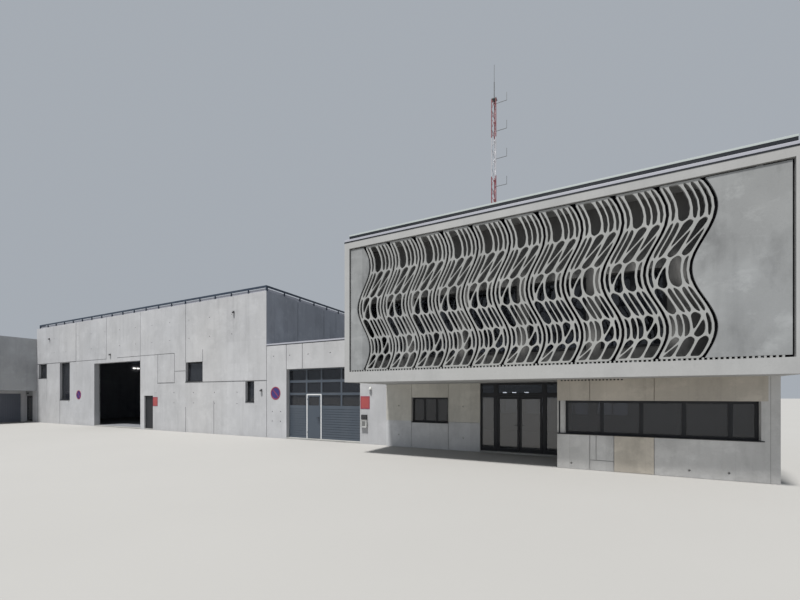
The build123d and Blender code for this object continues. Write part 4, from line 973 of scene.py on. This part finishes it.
def seals():
    """Dark seals under the office's and the link's copings, and a dark seal in the joint between hall and link whose
    colour also paints the shade in that joint.
    """
    near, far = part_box("office_roof")
    ring = block((near.x - 0.003, near.y - 0.003, far.z - 0.008), (far.x - 0.0005, far.y + 0.003, far.z + 0.012))
    coping = min((box[0] for box in solids_of("copings") if HALL_RIGHT - 0.05 < box[0].x < OFFICE_LEFT),
                 key=lambda corner: corner.y)
    strip = block((HALL_RIGHT + 0.001, coping.y - 0.003, coping.z - 0.004),
                  (OFFICE_LEFT - 0.001, coping.y + 0.02, coping.z + 0.014))
    joint_shade_seal = block((HALL_RIGHT + 0.0005, HALL_FRONT + 0.006, 0.002),
                   (low("link_front_walls").x - 0.0005, HALL_FRONT + 0.02, coping.z - 0.002))
    finished("coping_seals", [hollowed(ring, Z, 0.03), *eased(0.001, strip, joint_shade_seal)], "upstand_coat")


def roof_sheets():
    """The sheeting on the office's and the wing's roofs, turned up round its edge."""
    wing_low, wing_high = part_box("wing_slabs")
    rim = Vector((0.066, 0.066, 0))
    for name, near, far, level in (
            ("office_roof_sheet", low("office_roof_upstand") + rim, high("office_roof_upstand") - rim, OFFICE_TOP),
            ("wing_roof_sheet", wing_low, wing_high, wing_high.z)):
        sheet = block((*near.xy, level - 0.001), (*far.xy, level + 0.03))
        finished(name, eased(0.002, sunk(sheet, Z, 1, 0.012, 0.024)), "pale_roof_sheet")


class STATION_OT_roof_edges(bpy.types.Operator):
    """Finishes the copings, the dark upstand and the rail round the hall's roof"""
    bl_idname = "station.roof_edges"
    bl_label = "Roof edges"

    def execute(self, context):
        eased_copy("copings", "_folded", "pale_coping", 0.004, 2)
        eased_copy("hall_roof_rail", "_folded", "rail_coat", 0.003)
        eased_copy("office_roof_upstand", "_folded", "upstand_coat", 0.003)
        upstand_cap()
        seals()
        roof_sheets()
        return {"FINISHED"}


# Lamps, signs and other small fittings

def wall_lamps():
    """Conical shades that hang from short arms on round wall plates, a pale one on the pier."""
    dark, pale = [], []
    for near, far in solids_of("wall_lamps"):
        x, wall, top = (near.x + far.x) / 2, far.y, far.z
        plate = cylinder((x, wall - 0.004, top - 0.03), 0.02, 0.008, 24)
        arm = block((x - 0.007, near.y + 0.02, top - 0.036), (x + 0.007, wall, top - 0.022))
        cone = primitive(bpy.ops.mesh.primitive_cone_add, vertices=24, radius1=0.036, radius2=0.016, depth=0.05,
                         location=(x, near.y + 0.036, top - 0.047))
        sunk(cone, Z, -1, 0.004, 0.03)
        on_pier = HALL_RIGHT + 2.5 < near.x < OFFICE_LEFT
        (pale if on_pier else dark).extend(eased(0.0015, plate, arm, cone, segments=2))
    finished("dark_wall_lamps", dark, "lamp_coat", "wall_lamps")
    finished("pale_wall_lamp", pale, "pale_lamp_coat", "wall_lamps")


def signs():
    """The red plates with their rims, and the round discs with a red ring and a slanting bar."""
    plates, edges = [], []
    rim = Vector((0.018, 0, 0.018))
    for near, far in solids_of("sign_plates"):
        plates.append(block(near + Vector((0, 0.002, 0)), far))
        edges.append(hollowed(block(near - rim, far + rim), Y, rim.x))
    finished("sign_plate_faces", eased(0.001, *plates), "red_enamel", "sign_plates")
    finished("sign_plate_edges", eased(0.001, *edges), "crimson_enamel", "sign_plates")
    rings, faces = [], []
    for near, far in solids_of("sign_discs"):
        middle = (near + far) / 2
        depth = far.y - near.y
        radius = (far.z - near.z) / 2
        ring = hollowed(cylinder(middle, radius, depth, 48), Y, 0.16 * radius)
        bar = primitive(bpy.ops.mesh.primitive_cube_add, size=1, location=middle,
                        rotation=(0, math.radians(45), 0), scale=(1.75 * radius, depth, 0.13 * radius))
        rings += eased(0.001, ring, bar)
        faces.append(cylinder(middle + Vector((0, 0.002, 0)), 0.86 * radius, depth - 0.004, 48))
    finished("sign_disc_rings", rings, "crimson_enamel", "sign_discs")
    finished("sign_disc_faces", faces, "blue_enamel", "sign_discs")


def intercom():
    """A plate with keys below, and a slimmer part with a lens above."""
    (left, front, foot), (right, back, head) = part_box("intercom")
    split = foot + 0.62 * (head - foot)
    plate = sunk(block((left, front, foot), (right, back, split - 0.004)), Y, -1, 0.012, 0.006)
    upper = block((left + 0.01, front + 0.012, split), (right - 0.01, back, head))
    pitch, size = 0.026, 0.017
    keys = []
    for x in (left + 0.045 + column * pitch for column in range(3)):
        for z in (foot + 0.035 + row * pitch for row in range(4)):
            keys.append(block((x, front + 0.001, z), (x + size, front + 0.01, z + size)))
    lens = cylinder(((left + right) / 2, front + 0.013, split + 0.05), 0.018, 0.012, 24)
    finished("intercom_plate", eased(0.004, plate, segments=2), "brushed_steel", "intercom")
    finished("intercom_camera", [*eased(0.004, upper, segments=2), *eased(0.0015, lens, *keys)],
             "lamp_coat")


def windows():
    """Each window's low and high corner, the plane of its wall and the side that it looks to."""
    for near, far in solids_of("hall_window_frames"):
        if far.x - near.x >= 0.1 and near.x >= HALL_LEFT:
            yield near, far, *((HALL_FRONT, -1) if near.y < 0 else (HALL_BACK, 1))
    for near, far in solids_of("office_window_frames"):
        faces = [face for face in (BAY_FACE, ENTRANCE_FACE, BACK_WALL_LOW.y) if abs(near.y - face) < 0.1]
        if faces:
            yield near, far, faces[0], -1
        elif near.y > 0:
            yield near, far, OFFICE_BACK, 1


def sills():
    """A folded metal sill under each window of the fronts and backs."""
    made = []
    for near, far, wall, side in windows():
        left, right = near.x - 0.004, far.x + 0.004
        if near == STRIP_LOW:
            left, right = low("bay_front_wall").x, far.x + 0.03
        front, back = sorted((min(wall + side * 0.01, CAD_BOX[1][Y] - 0.0005), near.y if side < 0 else far.y))
        sill = block((left, front, near.z - 0.001), (right, back, near.z + 0.011))
        pick_faces(sill, lambda centre, normal: normal.y * side > 0.9)
        with editing(sill):
            bpy.ops.transform.translate(value=(0, 0, -0.006))
        made += eased(0.002, sill)
    finished("window_sills", made, "anthracite_coat")


def beads():
    """A slim bead round every pane that faces front or back, on its outer side."""
    made = []
    for near, far in solids_of("window_glass"):
        if far.y - near.y > 0.05:
            continue
        front, back = (near.y - 0.009, near.y) if near.y < 0 else (far.y, far.y + 0.009)
        made.append(hollowed(block((near.x, front, near.z), (far.x, back, far.z)), Y, 0.011))
    finished("glazing_beads", made, "anthracite_coat")


def foot_blocks():
    """The row of small blocks that the screen stands on."""
    pitch = 0.05
    left = SCREEN_LEFT + 0.01
    first, = eased(0.002, block((left, SCREEN_FRONT + 0.001, FIRST_FLOOR - 0.0005),
                                (left + 0.45 * pitch, SCREEN_REAR, SCREEN_FOOT + 0.001)))
    count = int((SCREEN_RIGHT - SCREEN_LEFT) / pitch)
    blocks = [first] + [copied(first, step * pitch) for step in range(1, count)]
    finished("screen_foot_blocks", blocks, "lattice_fibre_concrete")


def vents():
    """The row of small dark slots under the soffit of the bay."""
    slots = []
    for x in (OFFICE_LEFT + 3.47 + step * 0.045 for step in range(18)):
        slot = block((x, BAY_FACE - 0.004, SOFFIT - 0.022), (x + 0.023, BAY_FACE + 0.01, SOFFIT - 0.004))
        slots.append(sunk(slot, Y, -1, 0.002, 0.003))
    finished("bay_soffit_vents", slots, "anthracite_coat")


def lit_lamps():
    """Round pendants behind the entrance, whose glow is a painted reflection standing for bright spots in the entrance
    glass, and two square lamps on the hall's left wall.
    """
    upright = (0, 0, 0)
    rod_foot = 1.14
    pendants, rods, squares = [], [], []
    for x in (OFFICE_LEFT + 2.02, OFFICE_LEFT + 2.24, OFFICE_LEFT + 2.52):
        pendant = cylinder((x, 0.23, 1.129), 0.045, 0.024, 32, upright)
        rod = cylinder((x, 0.23, (rod_foot + SOFFIT) / 2), 0.004, SOFFIT - rod_foot, 12, upright)
        pendants += eased(0.003, sunk(pendant, Z, -1, 0.006, 0.004))
        rods += eased(0.001, rod)
    wall = HALL_LEFT + 0.15
    for y in (1.68, 1.85):
        square = block((wall + 0.001, y - 0.055, 2.362), (wall + 0.045, y + 0.055, 2.415))
        squares += eased(0.003, sunk(square, X, 1, 0.006, 0.004))
    finished("entrance_lamps", pendants, "pendant_diffuser")
    finished("hall_lamps", squares, "lamp_diffuser")
    finished("lamp_rods", rods, "lamp_coat")


class STATION_OT_fittings(bpy.types.Operator):
    """Models the lamps, signs, intercom, sills, glazing beads, screen blocks and vents"""
    bl_idname = "station.fittings"
    bl_label = "Fittings"

    def execute(self, context):
        for model in (wall_lamps, signs, intercom, sills, beads, foot_blocks, vents, lit_lamps):
            model()
        return {"FINISHED"}


# Finishes of the CAD nodes that stay as they are

KEPT_NODES = {
    "pale_cast_concrete": "link_back_wall",
    # The niche walls' pale colour also carries painted light
    "light_wing_concrete": "wing_door_wall wing_garage_wall",
    "wing_concrete": "wing_outer_walls wing_upper_wall wing_slabs",
    "grey_cast_concrete": "bay_return_wall office_ground_side_walls",
    # The wall behind the screen carries painted shade and a painted lit foot
    "back_wall_concrete": "screen_back_wall",
    "smooth_frame_concrete": "first_floor office_upper_side_walls office_roof",
    "floated_floor_concrete": "ground_slabs",
    "roof_membrane": "hall_roof link_roof",
    "anthracite_coat": "entrance_door_left entrance_door_right hall_door wing_door",
    "tinted_glazing": "wicket_glass wing_door_glass",
    "coated_glazing": "entrance_glass_left entrance_glass_right",
    "white_coat": "wicket_frame",
    "blue_grey_coat": "hall_bay_door",
    "galvanised": "hall_bay_tracks screen_fixings",
    "mast_red_paint": "mast_red_sections",
    "mast_white_paint": "mast_white_sections",
    "antenna_aluminium": "mast_antennas",
}


class STATION_OT_finishes(bpy.types.Operator):
    """Gives the CAD nodes that stay their materials"""
    bl_idname = "station.finishes"
    bl_label = "Finishes"

    def execute(self, context):
        for finish, nodes in KEPT_NODES.items():
            for node in nodes.split():
                coat(NODES[node], finish)
        return {"FINISHED"}


# Stage

FLOOR_SIZE = 400
KEY_DIRECTION = Vector((0.06, 0.41, -1.0))
IMAGE_WIDTH, IMAGE_HEIGHT = 800, 600
FOCAL_PIXELS = 382
HORIZON_ROW = 396
CAMERA_PLACE = (10.675, -9.025, 1.05)
CAMERA_TURN = 26.7


def lights(scene):
    scene.world = scene.world or bpy.data.worlds.new("studio")
    scene.world.use_nodes = True
    background = scene.world.node_tree.nodes["Background"]
    background.inputs["Color"].default_value = (0.84, 0.91, 1.0, 1.0)
    background.inputs["Strength"].default_value = scene.station_stage.sky
    key = bpy.data.lights.new("key", "SUN")
    key.energy = scene.station_stage.sun
    key.angle = math.radians(6)
    key.color = (1.0, 0.985, 0.96)
    linked("key", key).rotation_euler = KEY_DIRECTION.to_track_quat("-Z", "Y").to_euler()


def camera(scene):
    lens = bpy.data.cameras.new("camera")
    lens.sensor_width = 36.0
    lens.lens = FOCAL_PIXELS / IMAGE_WIDTH * lens.sensor_width
    lens.shift_y = (HORIZON_ROW - IMAGE_HEIGHT / 2) / IMAGE_WIDTH
    scene.camera = linked("camera", lens)
    scene.camera.location = CAMERA_PLACE
    scene.camera.rotation_euler = (math.radians(90), 0, math.radians(CAMERA_TURN))
    scene.view_settings.view_transform = "Standard"


class STATION_OT_stage(bpy.types.Operator):
    """Lays the floor and sets the lights and the camera"""
    bl_idname = "station.stage"
    bl_label = "Stage"

    def execute(self, context):
        floor = primitive(bpy.ops.mesh.primitive_plane_add, size=FLOOR_SIZE, location=(0, 0, -0.002))
        floor.name = "floor"
        coat(floor, "floor_finish")
        lights(context.scene)
        camera(context.scene)
        return {"FINISHED"}


class STATION_PT_panel(bpy.types.Panel):
    """Lists the station's pieces and their settings"""
    bl_idname = "STATION_PT_panel"
    bl_label = "Station"
    bl_space_type = "VIEW_3D"
    bl_region_type = "UI"
    bl_category = "Station"

    def draw(self, context):
        for name in GROUPS:
            values = getattr(context.scene, name)
            for key in values.bl_rna.properties.keys():
                if key not in ("rna_type", "name"):
                    self.layout.prop(values, key)
        for operator in OPERATORS:
            self.layout.operator(operator.bl_idname)


OPERATORS = (STATION_OT_hall_walls, STATION_OT_office_walls, STATION_OT_lattice, STATION_OT_sectional_doors,
             STATION_OT_frames, STATION_OT_roof_edges, STATION_OT_fittings, STATION_OT_finishes,
             STATION_OT_stage)
GROUPS = {"station_walls": StationWalls, "station_screen": StationScreen, "station_metal": StationMetal,
          "station_stage": StationStage}


def register():
    for name, group in GROUPS.items():
        bpy.utils.register_class(group)
        setattr(bpy.types.Scene, name, PointerProperty(type=group))
    for shown in (*OPERATORS, STATION_PT_panel):
        bpy.utils.register_class(shown)


def unregister():
    for shown in (STATION_PT_panel, *reversed(OPERATORS)):
        bpy.utils.unregister_class(shown)
    for name, group in GROUPS.items():
        delattr(bpy.types.Scene, name)
        bpy.utils.unregister_class(group)


def main():
    register()
    for operator in OPERATORS:
        group, name = operator.bl_idname.split(".")
        getattr(getattr(bpy.ops, group), name)()


if __name__ == "__main__":
    main()
